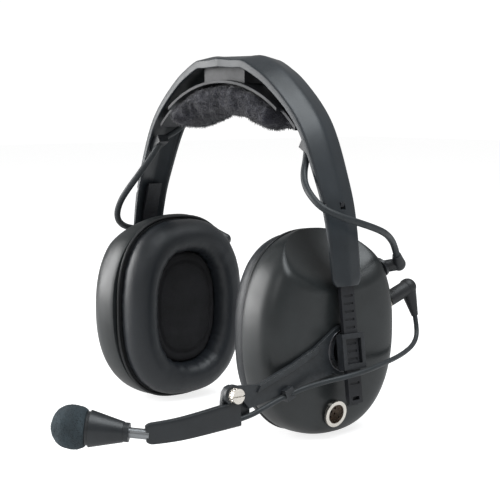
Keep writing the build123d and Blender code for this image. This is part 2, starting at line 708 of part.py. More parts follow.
def windscreen():
    """Foam bullet pushed over the housing's nose."""
    profile = [(20.05, 8.4), (22.0, 9.6), (26.0, 10.2), (30.0, 9.6), (33.4, 7.7), (35.8, 4.9), (36.8, 2.2)]
    foam = None
    for (low, low_radius), (high, high_radius) in zip(profile, profile[1:]):
        slice_ = rod(mic_point(low), mic_point(high), low_radius, high_radius)
        foam = slice_ if foam is None else foam + slice_
    return foam - rod(mic_point(19), mic_point(25.0), 6.95)


# ---- Assembly ---------------------------------------------------------------------------------------------------
def main():
    """Writes every sub-part as one STEP file."""
    os.makedirs("parts", exist_ok=True)
    band = outer_band()
    suspension = suspension_strap()
    strap = size_strap()
    left_cord = cord_tube("left_ear_cord", LEFT_EAR_ROUTE, EAR_CORD_DIAMETER)
    right_cord = cord_tube("right_ear_cord", RIGHT_EAR_ROUTE, EAR_CORD_DIAMETER)
    crossover = cord_tube("crossover_lead", crossover_route(), CROSSOVER_DIAMETER)
    mic_cord = cord_tube("mic_cord", MIC_ROUTE, MIC_CORD_DIAMETER)
    post = strap_post(band, suspension)
    left_shell = left_cup_shell()
    plain_shell = cup_shell() - gland_hole()
    right_route = [(-x, y, z) for x, y, z in RIGHT_EAR_ROUTE]
    bracket = boom_bracket()
    clips = [
        cable_clip(band, left_cord, crossover, 1),
        cable_clip(band, right_cord, crossover, -1),
    ]
    nodes = {
        "outer_band": band,
        "suspension_strap": suspension,
        "suspension_rivets": Compound([post, mirrored(post)]),
        "suspension_spacer": suspension_spacer(band, suspension),
        "head_pad": head_pad(),
        "cable_clips": Compound(clips),
        "crossover_lead": crossover,
        "left_ear_cord": left_cord,
        "right_ear_cord": right_cord,
        "mic_cord": mic_cord,
        "left_cup_shell": left_shell,
        "right_cup_shell": mirrored(plain_shell),
        "left_cord_gland": cord_gland(LEFT_EAR_ROUTE, left_shell),
        "right_cord_gland": mirrored(cord_gland(right_route, plain_shell)),
        "mic_jack": mic_jack(),
        "mic_plug": mic_plug(),
        "down_lead_socket": down_lead_socket(),
        "socket_contacts": socket_contacts(),
        "boom_washer": boom_washer(),
        "boom_retainer": boom_retainer(),
        "boom_bracket": bracket,
        "boom_cord_clip": boom_clip(mic_cord, bracket),
        "boom_blade": boom_blade(),
        "thumbscrew": thumbscrew(),
        "mic_stem": mic_stem(),
        "mic_housing": mic_housing(),
        "mic_capsule": mic_capsule(),
        "mic_windscreen": windscreen(),
    }
    pairs = {
        "size_strap": strap,
        "size_strap_rivets": size_strap_rivets(band),
        "hanger": hanger(),
        "hanger_pawl": hanger_pawl(),
        "swivel_pin": swivel_pin(),
        "knuckle": knuckle(),
        "pivot_socket": pivot_socket(),
        "baffle": baffle(),
        "ear_seal": ear_seal(),
        "foam_liner": foam_liner(),
        "speaker": speaker(),
        "sensing_mic": sensing_mic(),
        "circuit_board": circuit_board(),
        "baffle_screws": baffle_screws(),
    }
    for name, shape in pairs.items():
        nodes[f"left_{name}"] = shape
        nodes[f"right_{name}"] = mirrored(shape)
    for name, shape in nodes.items():
        export_step(shape, f"parts/{name}.step")
    print(len(nodes), "nodes")


if __name__ == "__main__":
    main()
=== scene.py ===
"""The aviation headset as it looks: finishes, soft parts, cords and a pale studio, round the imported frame.

Everything is in metres in the frame's own axes: +X is the wearer's left, -Y is forward and +Z is up.
"""

import json
import logging
import math
import random
from collections.abc import Callable, Iterable, Sequence
from dataclasses import dataclass, field
from enum import Enum

import bmesh
import bpy
import numpy as np
from mathutils import Matrix, Vector, noise

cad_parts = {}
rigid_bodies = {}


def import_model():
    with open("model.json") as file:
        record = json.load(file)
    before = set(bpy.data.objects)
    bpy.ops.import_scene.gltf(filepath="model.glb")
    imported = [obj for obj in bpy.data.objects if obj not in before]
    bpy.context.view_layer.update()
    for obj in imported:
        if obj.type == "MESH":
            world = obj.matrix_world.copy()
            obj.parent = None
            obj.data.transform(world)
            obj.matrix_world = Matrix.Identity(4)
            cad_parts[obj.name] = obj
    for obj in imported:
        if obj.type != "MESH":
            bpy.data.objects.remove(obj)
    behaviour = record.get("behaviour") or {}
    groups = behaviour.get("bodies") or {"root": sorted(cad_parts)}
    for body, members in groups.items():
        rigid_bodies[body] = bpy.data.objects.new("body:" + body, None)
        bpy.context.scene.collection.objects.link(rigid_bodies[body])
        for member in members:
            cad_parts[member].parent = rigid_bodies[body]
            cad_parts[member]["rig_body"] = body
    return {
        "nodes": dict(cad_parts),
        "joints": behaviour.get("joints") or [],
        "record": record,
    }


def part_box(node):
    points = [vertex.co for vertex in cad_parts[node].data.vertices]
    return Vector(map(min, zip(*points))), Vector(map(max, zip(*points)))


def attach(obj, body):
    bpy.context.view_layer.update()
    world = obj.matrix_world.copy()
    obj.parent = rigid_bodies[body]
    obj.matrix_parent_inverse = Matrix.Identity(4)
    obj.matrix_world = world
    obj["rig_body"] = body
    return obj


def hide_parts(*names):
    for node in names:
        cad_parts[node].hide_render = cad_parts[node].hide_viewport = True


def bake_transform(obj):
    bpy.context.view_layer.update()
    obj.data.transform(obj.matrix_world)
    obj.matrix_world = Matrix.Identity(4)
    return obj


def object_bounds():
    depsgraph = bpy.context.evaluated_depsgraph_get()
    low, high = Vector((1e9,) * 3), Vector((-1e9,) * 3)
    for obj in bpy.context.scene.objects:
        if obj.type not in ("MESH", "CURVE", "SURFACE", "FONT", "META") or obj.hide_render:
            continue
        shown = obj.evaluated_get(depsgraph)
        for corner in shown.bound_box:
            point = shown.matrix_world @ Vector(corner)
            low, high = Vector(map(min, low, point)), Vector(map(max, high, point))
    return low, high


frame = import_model()
CAD_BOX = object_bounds()
LOG = logging.getLogger("headset")

Colour = tuple[float, float, float]
Point = tuple[float, float, float]


class Side(Enum):
    """Which ear of the wearer a piece belongs to. The value is the sign of its X."""

    LEFT = 1
    RIGHT = -1

    @property
    def word(self) -> str:
        """The side's name as the nodes and bodies start with it."""
        return self.name.lower()


# ---- Shader graphs -------------------------------------------------------------------------------
class Graph:
    """Adds and joins nodes in one node tree."""

    def __init__(self, tree: bpy.types.NodeTree) -> None:
        """Takes the tree that the nodes go in."""
        self.tree = tree

    def add(self, kind: str, inputs: dict | None = None, **settings: object) -> bpy.types.Node:
        """Adds one node.

        Args:
            kind: the node's type without its "ShaderNode" prefix.
            inputs: values or other nodes' outputs, by input name or index.
            settings: the node's own options.

        Returns:
            The new node.
        """
        node = self.tree.nodes.new("ShaderNode" + kind)
        for option, value in settings.items():
            setattr(node, option, value)
        for key, value in (inputs or {}).items():
            if isinstance(value, bpy.types.NodeSocket):
                self.tree.links.new(value, node.inputs[key])
            else:
                node.inputs[key].default_value = value
        return node

    def place(self, group: bpy.types.NodeTree, inputs: dict) -> bpy.types.Node:
        """Adds a copy of a shared effect with its own values."""
        node = self.add("Group", {}, node_tree=group)
        for key, value in inputs.items():
            node.inputs[key].default_value = value
        return node

    def span(self, value: bpy.types.NodeSocket, low: float, high: float, to: tuple[float, float] = (0, 1)):
        """Stretches a value from low and high to the two ends of to, and stops there.

        Args:
            value: the output to stretch.
            low: the value that becomes the first end.
            high: the value that becomes the second end.
            to: the two ends.

        Returns:
            The output with the stretched value.
        """
        inputs = {"Value": value, "From Min": low, "From Max": high, "To Min": to[0], "To Max": to[1]}
        return self.add("MapRange", inputs).outputs["Result"]

    def times(self, first: bpy.types.NodeSocket, second: object) -> bpy.types.NodeSocket:
        """The product of two values."""
        return self.add("Math", {0: first, 1: second}, operation="MULTIPLY").outputs[0]

    def mixed(self, share: object, first: object, second: object) -> bpy.types.NodeSocket:
        """Blends two colours.

        Args:
            share: how much of the second colour there is.
            first: a colour or an output.
            second: a colour or an output.

        Returns:
            The blended colour's output.
        """
        ends = [(*c, 1.0) if isinstance(c, tuple) else c for c in (first, second)]
        return self.add("Mix", {0: share, 6: ends[0], 7: ends[1]}, data_type="RGBA").outputs[2]

    def join(self, source: bpy.types.NodeSocket, target: bpy.types.NodeSocket) -> None:
        """Links an output to an input."""
        self.tree.links.new(source, target)


Wiring = Callable[[Graph, bpy.types.NodeSocket, bpy.types.NodeSocket], dict[str, bpy.types.NodeSocket]]


def shared_effect(name: str, wire: Wiring, outputs: Sequence[str]) -> bpy.types.NodeTree:
    """Makes a node group once, with a Scale input and outputs that vary over the surface.

    Args:
        name: the group's name.
        wire: adds the group's nodes. It gets the graph, the object's coordinates and the Scale input,
            and returns the outputs by name.
        outputs: the names of the group's outputs.

    Returns:
        The node group.
    """
    made = bpy.data.node_groups.get(name)
    if made is not None:
        return made
    made = bpy.data.node_groups.new(name, "ShaderNodeTree")
    made.interface.new_socket("Scale", in_out="INPUT", socket_type="NodeSocketFloat")
    for output in outputs:
        made.interface.new_socket(output, in_out="OUTPUT", socket_type="NodeSocketFloat")
    graph = Graph(made)
    entry = made.nodes.new("NodeGroupInput")
    leave = made.nodes.new("NodeGroupOutput")
    place = graph.add("TexCoord").outputs["Object"]
    for output, socket in wire(graph, place, entry.outputs["Scale"]).items():
        graph.join(socket, leave.inputs[output])
    return made


def moulded_grain() -> bpy.types.NodeTree:
    """Fine spark-eroded grain of a moulded part, with a slow drift of its tone."""

    def wire(graph: Graph, place: bpy.types.NodeSocket, scale: bpy.types.NodeSocket) -> dict:
        """Adds fine noise for the height and slow noise for the tone."""
        fine = graph.add("TexNoise", {"Vector": place, "Scale": scale, "Detail": 3.0, "Roughness": 0.6})
        slow = graph.add("TexNoise", {"Vector": place, "Scale": graph.times(scale, 0.03), "Detail": 4.0})
        return {"Height": fine.outputs["Fac"], "Mottle": graph.span(slow.outputs["Fac"], 0.35, 0.65)}

    return shared_effect("moulded_grain", wire, ("Height", "Mottle"))


def edge_wear() -> bpy.types.NodeTree:
    """Where hands have rubbed the edges pale, broken up by noise."""

    def wire(graph: Graph, place: bpy.types.NodeSocket, scale: bpy.types.NodeSocket) -> dict:
        """Multiplies the sharpness of edges by noise."""
        sharp = graph.span(graph.add("NewGeometry").outputs["Pointiness"], 0.53, 0.62)
        broken = graph.add("TexNoise", {"Vector": place, "Scale": scale, "Detail": 5.0, "Roughness": 0.7})
        return {"Mask": graph.times(sharp, graph.span(broken.outputs["Fac"], 0.42, 0.62))}

    return shared_effect("edge_wear", wire, ("Mask",))


def handling_film() -> bpy.types.NodeTree:
    """Faint smears of handling, and dust that settles where the surface faces up."""

    def wire(graph: Graph, place: bpy.types.NodeSocket, scale: bpy.types.NodeSocket) -> dict:
        """Adds warped noise for the smears, and noise on upward faces for the dust."""
        smear = graph.add("TexNoise", {"Vector": place, "Scale": scale, "Detail": 6.0, "Distortion": 1.4})
        normal = graph.add("NewGeometry").outputs["Normal"]
        upward = graph.add("SeparateXYZ", {"Vector": normal}).outputs["Z"]
        speck = graph.add("TexNoise", {"Vector": place, "Scale": graph.times(scale, 40.0), "Detail": 2.0})
        dust = graph.times(graph.span(upward, 0.4, 1.0), graph.span(speck.outputs["Fac"], 0.5, 0.75))
        return {"Smear": graph.span(smear.outputs["Fac"], 0.3, 0.7), "Dust": dust}

    return shared_effect("handling_film", wire, ("Smear", "Dust"))


def leather_crease() -> bpy.types.NodeTree:
    """Small flat cells with fine creases between them, as on artificial leather, and a mask for painted shade
    in the creases.
    """

    def wire(graph: Graph, place: bpy.types.NodeSocket, scale: bpy.types.NodeSocket) -> dict:
        """Adds cells whose coordinates are bent by noise."""
        bend = graph.add("TexNoise", {"Vector": place, "Scale": graph.times(scale, 0.4), "Detail": 2.0})
        nudge = graph.add("VectorMath", {0: bend.outputs["Color"], 1: (0.0006,) * 3}, operation="MULTIPLY")
        moved = graph.add("VectorMath", {0: place, 1: nudge.outputs[0]}, operation="ADD").outputs[0]
        cells = graph.add("TexVoronoi", {"Vector": moved, "Scale": scale}, feature="DISTANCE_TO_EDGE")
        # The second output is 1 in the creases and masks painted shade there.
        return {
            "Height": graph.span(cells.outputs["Distance"], 0.0, 0.22),
            "Crease": graph.span(cells.outputs["Distance"], 0.0, 0.1, (1, 0)),
        }

    return shared_effect("leather_crease", wire, ("Height", "Crease"))


def foam_cell() -> bpy.types.NodeTree:
    """Open pores of acoustic foam in two sizes, with a mask for painted shade in the pores."""

    def wire(graph: Graph, place: bpy.types.NodeSocket, scale: bpy.types.NodeSocket) -> dict:
        """Adds large and small round pores."""
        large = graph.add("TexVoronoi", {"Vector": place, "Scale": scale}).outputs["Distance"]
        small_scale = graph.times(scale, 2.3)
        small = graph.add("TexVoronoi", {"Vector": place, "Scale": small_scale}).outputs["Distance"]
        both = graph.times(graph.span(large, 0.1, 0.45), graph.span(small, 0.05, 0.4))
        # The second output is 1 deep in a pore and masks painted shade there.
        return {"Height": both, "Pore": graph.span(both, 0.0, 0.5, (1, 0))}

    return shared_effect("foam_cell", wire, ("Height", "Pore"))


def turned_streak() -> bpy.types.NodeTree:
    """Fine tool marks along a turned or drawn metal part."""

    def wire(graph: Graph, place: bpy.types.NodeSocket, scale: bpy.types.NodeSocket) -> dict:
        """Adds noise that is stretched in Y and Z."""
        drawn = graph.add("Mapping", {"Vector": place, "Scale": (1.0, 0.12, 0.12)}).outputs[0]
        marks = graph.add("TexNoise", {"Vector": drawn, "Scale": scale, "Detail": 4.0, "Roughness": 0.7})
        return {"Height": marks.outputs["Fac"], "Streak": graph.span(marks.outputs["Fac"], 0.3, 0.7)}

    return shared_effect("turned_streak", wire, ("Height", "Streak"))


def fleece_pile() -> bpy.types.NodeTree:
    """Matted tufts of a short pile."""

    def wire(graph: Graph, place: bpy.types.NodeSocket, scale: bpy.types.NodeSocket) -> dict:
        """Adds warped noise for the tufts and slower noise for the tone."""
        tufts = graph.add("TexNoise", {"Vector": place, "Scale": scale, "Detail": 5.0, "Distortion": 2.0})
        patch = graph.add("TexNoise", {"Vector": place, "Scale": graph.times(scale, 0.12), "Detail": 3.0})
        return {"Height": tufts.outputs["Fac"], "Tone": graph.span(patch.outputs["Fac"], 0.35, 0.65)}

    return shared_effect("fleece_pile", wire, ("Height", "Tone"))


# ---- Finishes ------------------------------------------------------------------------------------
@dataclass(frozen=True)
class Finish:
    """What every finish has. Lengths are in metres, and scales are per metre."""

    slot: str
    tone: Colour
    roughness: float

    def material(self) -> bpy.types.Material:
        """The finish as a material, made the first time that it is asked for."""
        name = "finish_" + self.slot
        made = bpy.data.materials.get(name)
        if made is None:
            made = bpy.data.materials.new(name)
            made.use_nodes = True
            made.node_tree.nodes.clear()
            graph = Graph(made.node_tree)
            shader = graph.add("BsdfPrincipled", {"Roughness": self.roughness})
            graph.add("OutputMaterial", {"Surface": shader.outputs["BSDF"]})
            self.dress(graph, shader)
        return made

    def dress(self, graph: Graph, shader: bpy.types.Node) -> None:
        """Wires the finish's own patterns into the shader."""
        raise NotImplementedError

    def shade(self, factor: float) -> Colour:
        """The finish's tone made lighter or darker."""
        return tuple(min(1.0, channel * factor) for channel in self.tone)


@dataclass(frozen=True)
class MouldedPlastic(Finish):
    """Black plastic from a mould: fine grain, faint smears, dust and rubbed edges."""

    grain_scale: float = 2600.0
    grain_depth: float = 0.00004
    edge_round: float = 0.0005
    wear: float = 0.35
    dust: float = 0.10
    coat: float = 0.0

    def dress(self, graph: Graph, shader: bpy.types.Node) -> None:
        """Wires grain, film and wear into the shader."""
        grain = graph.place(moulded_grain(), {"Scale": self.grain_scale})
        film = graph.place(handling_film(), {"Scale": 38.0})
        worn = graph.place(edge_wear(), {"Scale": 420.0})
        base = graph.mixed(grain.outputs["Mottle"], self.shade(0.88), self.shade(1.14))
        base = graph.mixed(graph.times(worn.outputs["Mask"], self.wear), base, self.shade(3.2))
        base = graph.mixed(graph.times(film.outputs["Dust"], self.dust), base, (0.30, 0.29, 0.27))
        rough = graph.span(film.outputs["Smear"], 0, 1, (self.roughness - 0.04, self.roughness + 0.06))
        soft = graph.add("Bevel", {"Radius": self.edge_round}, samples=4).outputs["Normal"]
        relief = {
            "Strength": 0.35,
            "Distance": self.grain_depth,
            "Height": grain.outputs["Height"],
            "Normal": soft,
        }
        graph.join(base, shader.inputs["Base Color"])
        graph.join(rough, shader.inputs["Roughness"])
        graph.join(graph.add("Bump", relief).outputs["Normal"], shader.inputs["Normal"])
        shader.inputs["Coat Weight"].default_value = self.coat
        shader.inputs["Coat Roughness"].default_value = 0.16


@dataclass(frozen=True)
class Rubber(Finish):
    """Soft matt jacket or moulding with a faint bloom."""

    grain_scale: float = 1800.0

    def dress(self, graph: Graph, shader: bpy.types.Node) -> None:
        """Wires grain and bloom into the shader."""
        grain = graph.place(moulded_grain(), {"Scale": self.grain_scale})
        film = graph.place(handling_film(), {"Scale": 70.0})
        base = graph.mixed(grain.outputs["Mottle"], self.shade(0.85), self.shade(1.2))
        base = graph.mixed(graph.times(film.outputs["Dust"], 0.12), base, (0.26, 0.25, 0.24))
        rough = graph.span(film.outputs["Smear"], 0, 1, (self.roughness - 0.05, self.roughness + 0.08))
        relief = {"Strength": 0.3, "Distance": 0.00005, "Height": grain.outputs["Height"]}
        graph.join(base, shader.inputs["Base Color"])
        graph.join(rough, shader.inputs["Roughness"])
        graph.join(graph.add("Bump", relief).outputs["Normal"], shader.inputs["Normal"])


@dataclass(frozen=True)
class SealLeather(Finish):
    """Thin artificial leather over soft foam."""

    cell_scale: float = 1500.0

    def dress(self, graph: Graph, shader: bpy.types.Node) -> None:
        """Wires creases, with painted shade in them, and handling into the shader."""
        skin = graph.place(leather_crease(), {"Scale": self.cell_scale})
        film = graph.place(handling_film(), {"Scale": 45.0})
        grain = graph.place(moulded_grain(), {"Scale": 900.0})
        base = graph.mixed(grain.outputs["Mottle"], self.shade(0.9), self.shade(1.15))
        # Painted shade: the creases are darkened to about half of the tone.
        base = graph.mixed(graph.times(skin.outputs["Crease"], 0.5), base, self.shade(0.55))
        rough = graph.span(film.outputs["Smear"], 0, 1, (self.roughness - 0.05, self.roughness + 0.05))
        relief = {"Strength": 0.4, "Distance": 0.00008, "Height": skin.outputs["Height"]}
        graph.join(base, shader.inputs["Base Color"])
        graph.join(rough, shader.inputs["Roughness"])
        graph.join(graph.add("Bump", relief).outputs["Normal"], shader.inputs["Normal"])


@dataclass(frozen=True)
class Foam(Finish):
    """Open-cell foam, with painted shade in its pores."""

    pore_scale: float = 1400.0

    def dress(self, graph: Graph, shader: bpy.types.Node) -> None:
        """Wires the pores into the shader, as bumps and as painted shade."""
        cells = graph.place(foam_cell(), {"Scale": self.pore_scale})
        pile = graph.place(fleece_pile(), {"Scale": 700.0})
        base = graph.mixed(pile.outputs["Tone"], self.shade(0.8), self.shade(1.3))
        # Painted shade: the pores are darkened towards a quarter of the tone.
        base = graph.mixed(graph.times(cells.outputs["Pore"], 0.8), base, self.shade(0.25))
        relief = {"Strength": 0.9, "Distance": 0.0004, "Height": cells.outputs["Height"]}
        graph.join(base, shader.inputs["Base Color"])
        graph.join(graph.add("Bump", relief).outputs["Normal"], shader.inputs["Normal"])


@dataclass(frozen=True)
class Fleece(Finish):
    """Dark short-pile fleece whose sheen catches light at its edges, with painted highlight on its raised
    tufts.
    """

    pile_scale: float = 900.0

    def dress(self, graph: Graph, shader: bpy.types.Node) -> None:
        """Wires the pile into the shader, with painted highlight on the raised tufts."""
        pile = graph.place(fleece_pile(), {"Scale": self.pile_scale})
        base = graph.mixed(pile.outputs["Tone"], self.shade(0.7), self.shade(1.35))
        # Painted highlight: the high points of the pile are lightened to over twice the tone.
        base = graph.mixed(graph.span(pile.outputs["Height"], 0.45, 0.75), base, self.shade(2.2))
        relief = {"Strength": 1.0, "Distance": 0.0007, "Height": pile.outputs["Height"]}
        graph.join(base, shader.inputs["Base Color"])
        graph.join(graph.add("Bump", relief).outputs["Normal"], shader.inputs["Normal"])
        shader.inputs["Sheen Weight"].default_value = 0.35
        shader.inputs["Sheen Roughness"].default_value = 0.5


@dataclass(frozen=True)
class Metal(Finish):
    """Plated or drawn metal with tool marks."""

    streak_scale: float = 2400.0

    def dress(self, graph: Graph, shader: bpy.types.Node) -> None:
        """Wires the tool marks into the shader."""
        marks = graph.place(turned_streak(), {"Scale": self.streak_scale})
        film = graph.place(handling_film(), {"Scale": 120.0})
        base = graph.mixed(graph.times(film.outputs["Smear"], 0.5), self.shade(1.0), self.shade(0.72))
        rough = graph.span(marks.outputs["Streak"], 0, 1, (self.roughness - 0.06, self.roughness + 0.1))
        soft = graph.add("Bevel", {"Radius": 0.00025}, samples=4).outputs["Normal"]
        relief = {"Strength": 0.25, "Distance": 0.00004, "Height": marks.outputs["Height"], "Normal": soft}
        graph.join(base, shader.inputs["Base Color"])
        graph.join(rough, shader.inputs["Roughness"])
        graph.join(graph.add("Bump", relief).outputs["Normal"], shader.inputs["Normal"])
        shader.inputs["Metallic"].default_value = 1.0


@dataclass(frozen=True)
class CircuitBoard(Finish):
    """Lacquered board with rows of copper pads."""

    pad_scale: float = 260.0

    def dress(self, graph: Graph, shader: bpy.types.Node) -> None:
        """Wires pads and lacquer into the shader."""
        place = graph.add("TexCoord").outputs["Object"]
        turned = graph.add("Mapping", {"Vector": place, "Rotation": (0.0, math.pi / 2, 0.0)}).outputs[0]
        size = {"Vector": turned, "Scale": self.pad_scale, "Mortar Size": 0.12, "Brick Width": 0.5}
        pads = graph.add("TexBrick", {**size, "Color1": (0, 0, 0, 1), "Color2": (1, 1, 1, 1)})
        film = graph.place(handling_film(), {"Scale": 90.0})
        base = graph.mixed(graph.times(pads.outputs["Color"], 0.35), self.tone, (0.30, 0.17, 0.06))
        rough = graph.span(film.outputs["Smear"], 0, 1, (self.roughness - 0.05, self.roughness + 0.1))
        graph.join(base, shader.inputs["Base Color"])
        graph.join(rough, shader.inputs["Roughness"])


FINISHES: dict[str, Finish] = {
    finish.slot: finish
    for finish in (
        MouldedPlastic("band_plastic", (0.020, 0.025, 0.030), 0.36, edge_round=0.0006),
        MouldedPlastic("strap_plastic", (0.010, 0.011, 0.014), 0.50, edge_round=0.0003),
        MouldedPlastic("fitting_plastic", (0.016, 0.018, 0.021), 0.42, edge_round=0.0004),
        MouldedPlastic("knuckle_plastic", (0.014, 0.015, 0.017), 0.46),
        MouldedPlastic("shell_plastic", (0.017, 0.020, 0.021), 0.34, grain_depth=0.00003),
        MouldedPlastic("baffle_plastic", (0.010, 0.011, 0.012), 0.5),
        MouldedPlastic("boom_plastic", (0.016, 0.019, 0.022), 0.38, edge_round=0.0005),
        MouldedPlastic("insulator", (0.050, 0.030, 0.018), 0.4, edge_round=0.0002),
        Rubber("cord_jacket", (0.020, 0.025, 0.029), 0.50),
        Rubber("plug_rubber", (0.012, 0.013, 0.015), 0.46),
        SealLeather("seal_skin", (0.013, 0.016, 0.020), 0.40),
        Foam("liner_foam", (0.010, 0.010, 0.012), 0.95, pore_scale=1500.0),
        Foam("windscreen_foam", (0.040, 0.056, 0.066), 0.92, pore_scale=1150.0),
        Fleece("fleece", (0.016, 0.016, 0.024), 0.95),
        Metal("rivet_metal", (0.45, 0.45, 0.46), 0.34),
        Metal("spring_steel", (0.36, 0.36, 0.38), 0.30),
        Metal("speaker_metal", (0.30, 0.30, 0.31), 0.42),
        Metal("mic_metal", (0.55, 0.54, 0.52), 0.35),
        Metal("jack_metal", (0.88, 0.83, 0.76), 0.24),
        Metal("stem_metal", (0.30, 0.31, 0.32), 0.34),
        CircuitBoard("board", (0.010, 0.075, 0.035), 0.35),
    )
}


# ---- Mesh helpers --------------------------------------------------------------------------------
def new_piece(
    name: str, points: Iterable[Sequence[float]], faces: Iterable[Sequence[int]]
) -> bpy.types.Object:
    """Makes a mesh object with smooth faces that all look outward.

    Args:
        name: the piece's name.
        points: the vertices, in the row frame.
        faces: the vertex numbers of each face.

    Returns:
        The new object.
    """
    mesh = bpy.data.meshes.new(name)
    mesh.from_pydata([tuple(point) for point in points], [], [tuple(face) for face in faces])
    piece = bpy.data.objects.new(name, mesh)
    bpy.context.scene.collection.objects.link(piece)
    tidy_normals(piece)
    return piece


def tidy_normals(piece: bpy.types.Object, sharp_degrees: float = 42.0) -> None:
    """Turns a piece's faces outward and shades it smooth, with edges sharper than that angle kept."""
    build = bmesh.new()
    build.from_mesh(piece.data)
    bmesh.ops.remove_doubles(build, verts=build.verts, dist=1e-7)
    bmesh.ops.recalc_face_normals(build, faces=build.faces)
    for face in build.faces:
        face.smooth = True
    build.to_mesh(piece.data)
    build.free()
    piece.data.set_sharp_from_angle(angle=math.radians(sharp_degrees))


def skin_rings(rings: Sequence[Sequence[Vector]], closed_path: bool = False) -> tuple[list, list]:
    """Joins closed rings that have the same number of points.

    Args:
        rings: the rings in order.
        closed_path: whether the last ring joins the first one. Otherwise both ends are closed with a face.

    Returns:
        The vertices and the faces.
    """
    count = len(rings[0])
    points = [point for ring in rings for point in ring]
    faces = []
    pairs = len(rings) if closed_path else len(rings) - 1
    for row in range(pairs):
        here, there = row * count, (row + 1) % len(rings) * count
        for step in range(count):
            after = (step + 1) % count
            faces.append((here + step, here + after, there + after, there + step))
    if not closed_path:
        faces.append(range(count))
        faces.append(range(len(points) - 1, len(points) - count - 1, -1))
    return points, faces


def smooth_path(points: Sequence[Sequence[float]], count: int, rounds: int = 0) -> np.ndarray:
    """A smooth line through given points, with its samples evenly spaced.

    Args:
        points: the points that the line passes.
        count: how many samples it gets.
        rounds: how often each sample is drawn halfway to its neighbours' middle, which softens corners.

    Returns:
        The samples, one row each.
    """
    known = np.array(points, float)
    ends = np.vstack([2 * known[0] - known[1], known, 2 * known[-1] - known[-2]])
    dense = []
    for before, here, there, beyond in zip(ends, ends[1:], ends[2:], ends[3:]):
        for t in np.linspace(0, 1, 24, endpoint=False):
            curve = 2 * here + (there - before) * t
            curve = curve + (2 * before - 5 * here + 4 * there - beyond) * t**2
            dense.append((curve + (3 * here - before - 3 * there + beyond) * t**3) / 2)
    dense.append(known[-1])
    line = evenly(np.array(dense), count)
    for _ in range(rounds):
        line[1:-1] = (line[1:-1] + (line[:-2] + line[2:]) / 2) / 2
    return line


def evenly(line: np.ndarray, count: int) -> np.ndarray:
    """The same line with that many samples, equally far apart."""
    along = np.concatenate([[0.0], np.cumsum(np.linalg.norm(np.diff(line, axis=0), axis=1))])
    wanted = np.linspace(0, along[-1], count)
    return np.stack([np.interp(wanted, along, line[:, axis]) for axis in range(line.shape[1])], axis=1)


def rounded_loop(corners: Sequence[tuple[float, float]], per_side: int, rounds: int) -> np.ndarray:
    """A closed outline with its corners softened.

    Args:
        corners: the outline's corners.
        per_side: how many samples each side gets.
        rounds: how often the corners are softened.

    Returns:
        The outline's samples.
    """
    known = np.array(corners, float)
    following = np.roll(known, -1, axis=0)
    loop = np.concatenate(
        [here + (there - here) * np.linspace(0, 1, per_side, endpoint=False)[:, None]
         for here, there in zip(known, following)]
    )
    for _ in range(rounds):
        loop = (loop + (np.roll(loop, 1, axis=0) + np.roll(loop, -1, axis=0)) / 2) / 2
    return loop


def plate(name: str, outline: Sequence[tuple[float, float]], span: tuple[float, float], edge: float):
    """A flat plate that stands across X, with bevelled edges.

    Args:
        name: the piece's name.
        outline: its corners in Y and Z.
        span: its lowest and highest X.
        edge: the bevel's width.

    Returns:
        The new object.
    """
    rings = [[Vector((x, y, z)) for y, z in outline] for x in span]
    piece = new_piece(name, *skin_rings(rings))
    with_modifier(piece, "BEVEL", width=edge, segments=3, limit_method="ANGLE")
    tidy_normals(piece)
    return piece


def with_modifier(piece: bpy.types.Object, kind: str, **settings: object) -> None:
    """Adds a modifier, sets it up and makes its result the piece's mesh."""
    modifier = piece.modifiers.new(kind.lower(), kind)
    for option, value in settings.items():
        setattr(modifier, option, value)
    shown = piece.evaluated_get(bpy.context.evaluated_depsgraph_get())
    result = bpy.data.meshes.new_from_object(shown)
    piece.modifiers.clear()
    piece.data = result


def drilled(piece: bpy.types.Object, cutters: Sequence[bpy.types.Object]) -> None:
    """Cuts each cutter out of a piece, and throws the cutters away."""
    for cutter in cutters:
        with_modifier(piece, "BOOLEAN", object=cutter, operation="DIFFERENCE", solver="EXACT")
        bpy.data.objects.remove(cutter)
    tidy_normals(piece)


def round_bar(name: str, start: Vector, end: Vector, radius: float, sides: int = 40) -> bpy.types.Object:
    """A straight round bar, used to drill holes."""
    line = np.array([start, end], float)
    return new_piece(name, *skin_rings(tube_rings(line, radius, sides)))


def tube_rings(line: np.ndarray, radius: float, sides: int = 16) -> list[list[Vector]]:
    """Rings round a line that don't twist.

    Args:
        line: the tube's centreline.
        radius: the tube's radius.
        sides: how many points each ring has.

    Returns:
        One ring for each of the line's points.
    """
    points = [Vector(point) for point in line]
    rings = []
    across = None
    for index, point in enumerate(points):
        along = (points[min(index + 1, len(points) - 1)] - points[max(index - 1, 0)]).normalized()
        if across is None:
            across = along.orthogonal()
        across = (across - along * across.dot(along)).normalized()
        other = along.cross(across)
        turns = [2 * math.pi * step / sides for step in range(sides)]
        rings.append([point + (across * math.cos(t) + other * math.sin(t)) * radius for t in turns])
    return rings


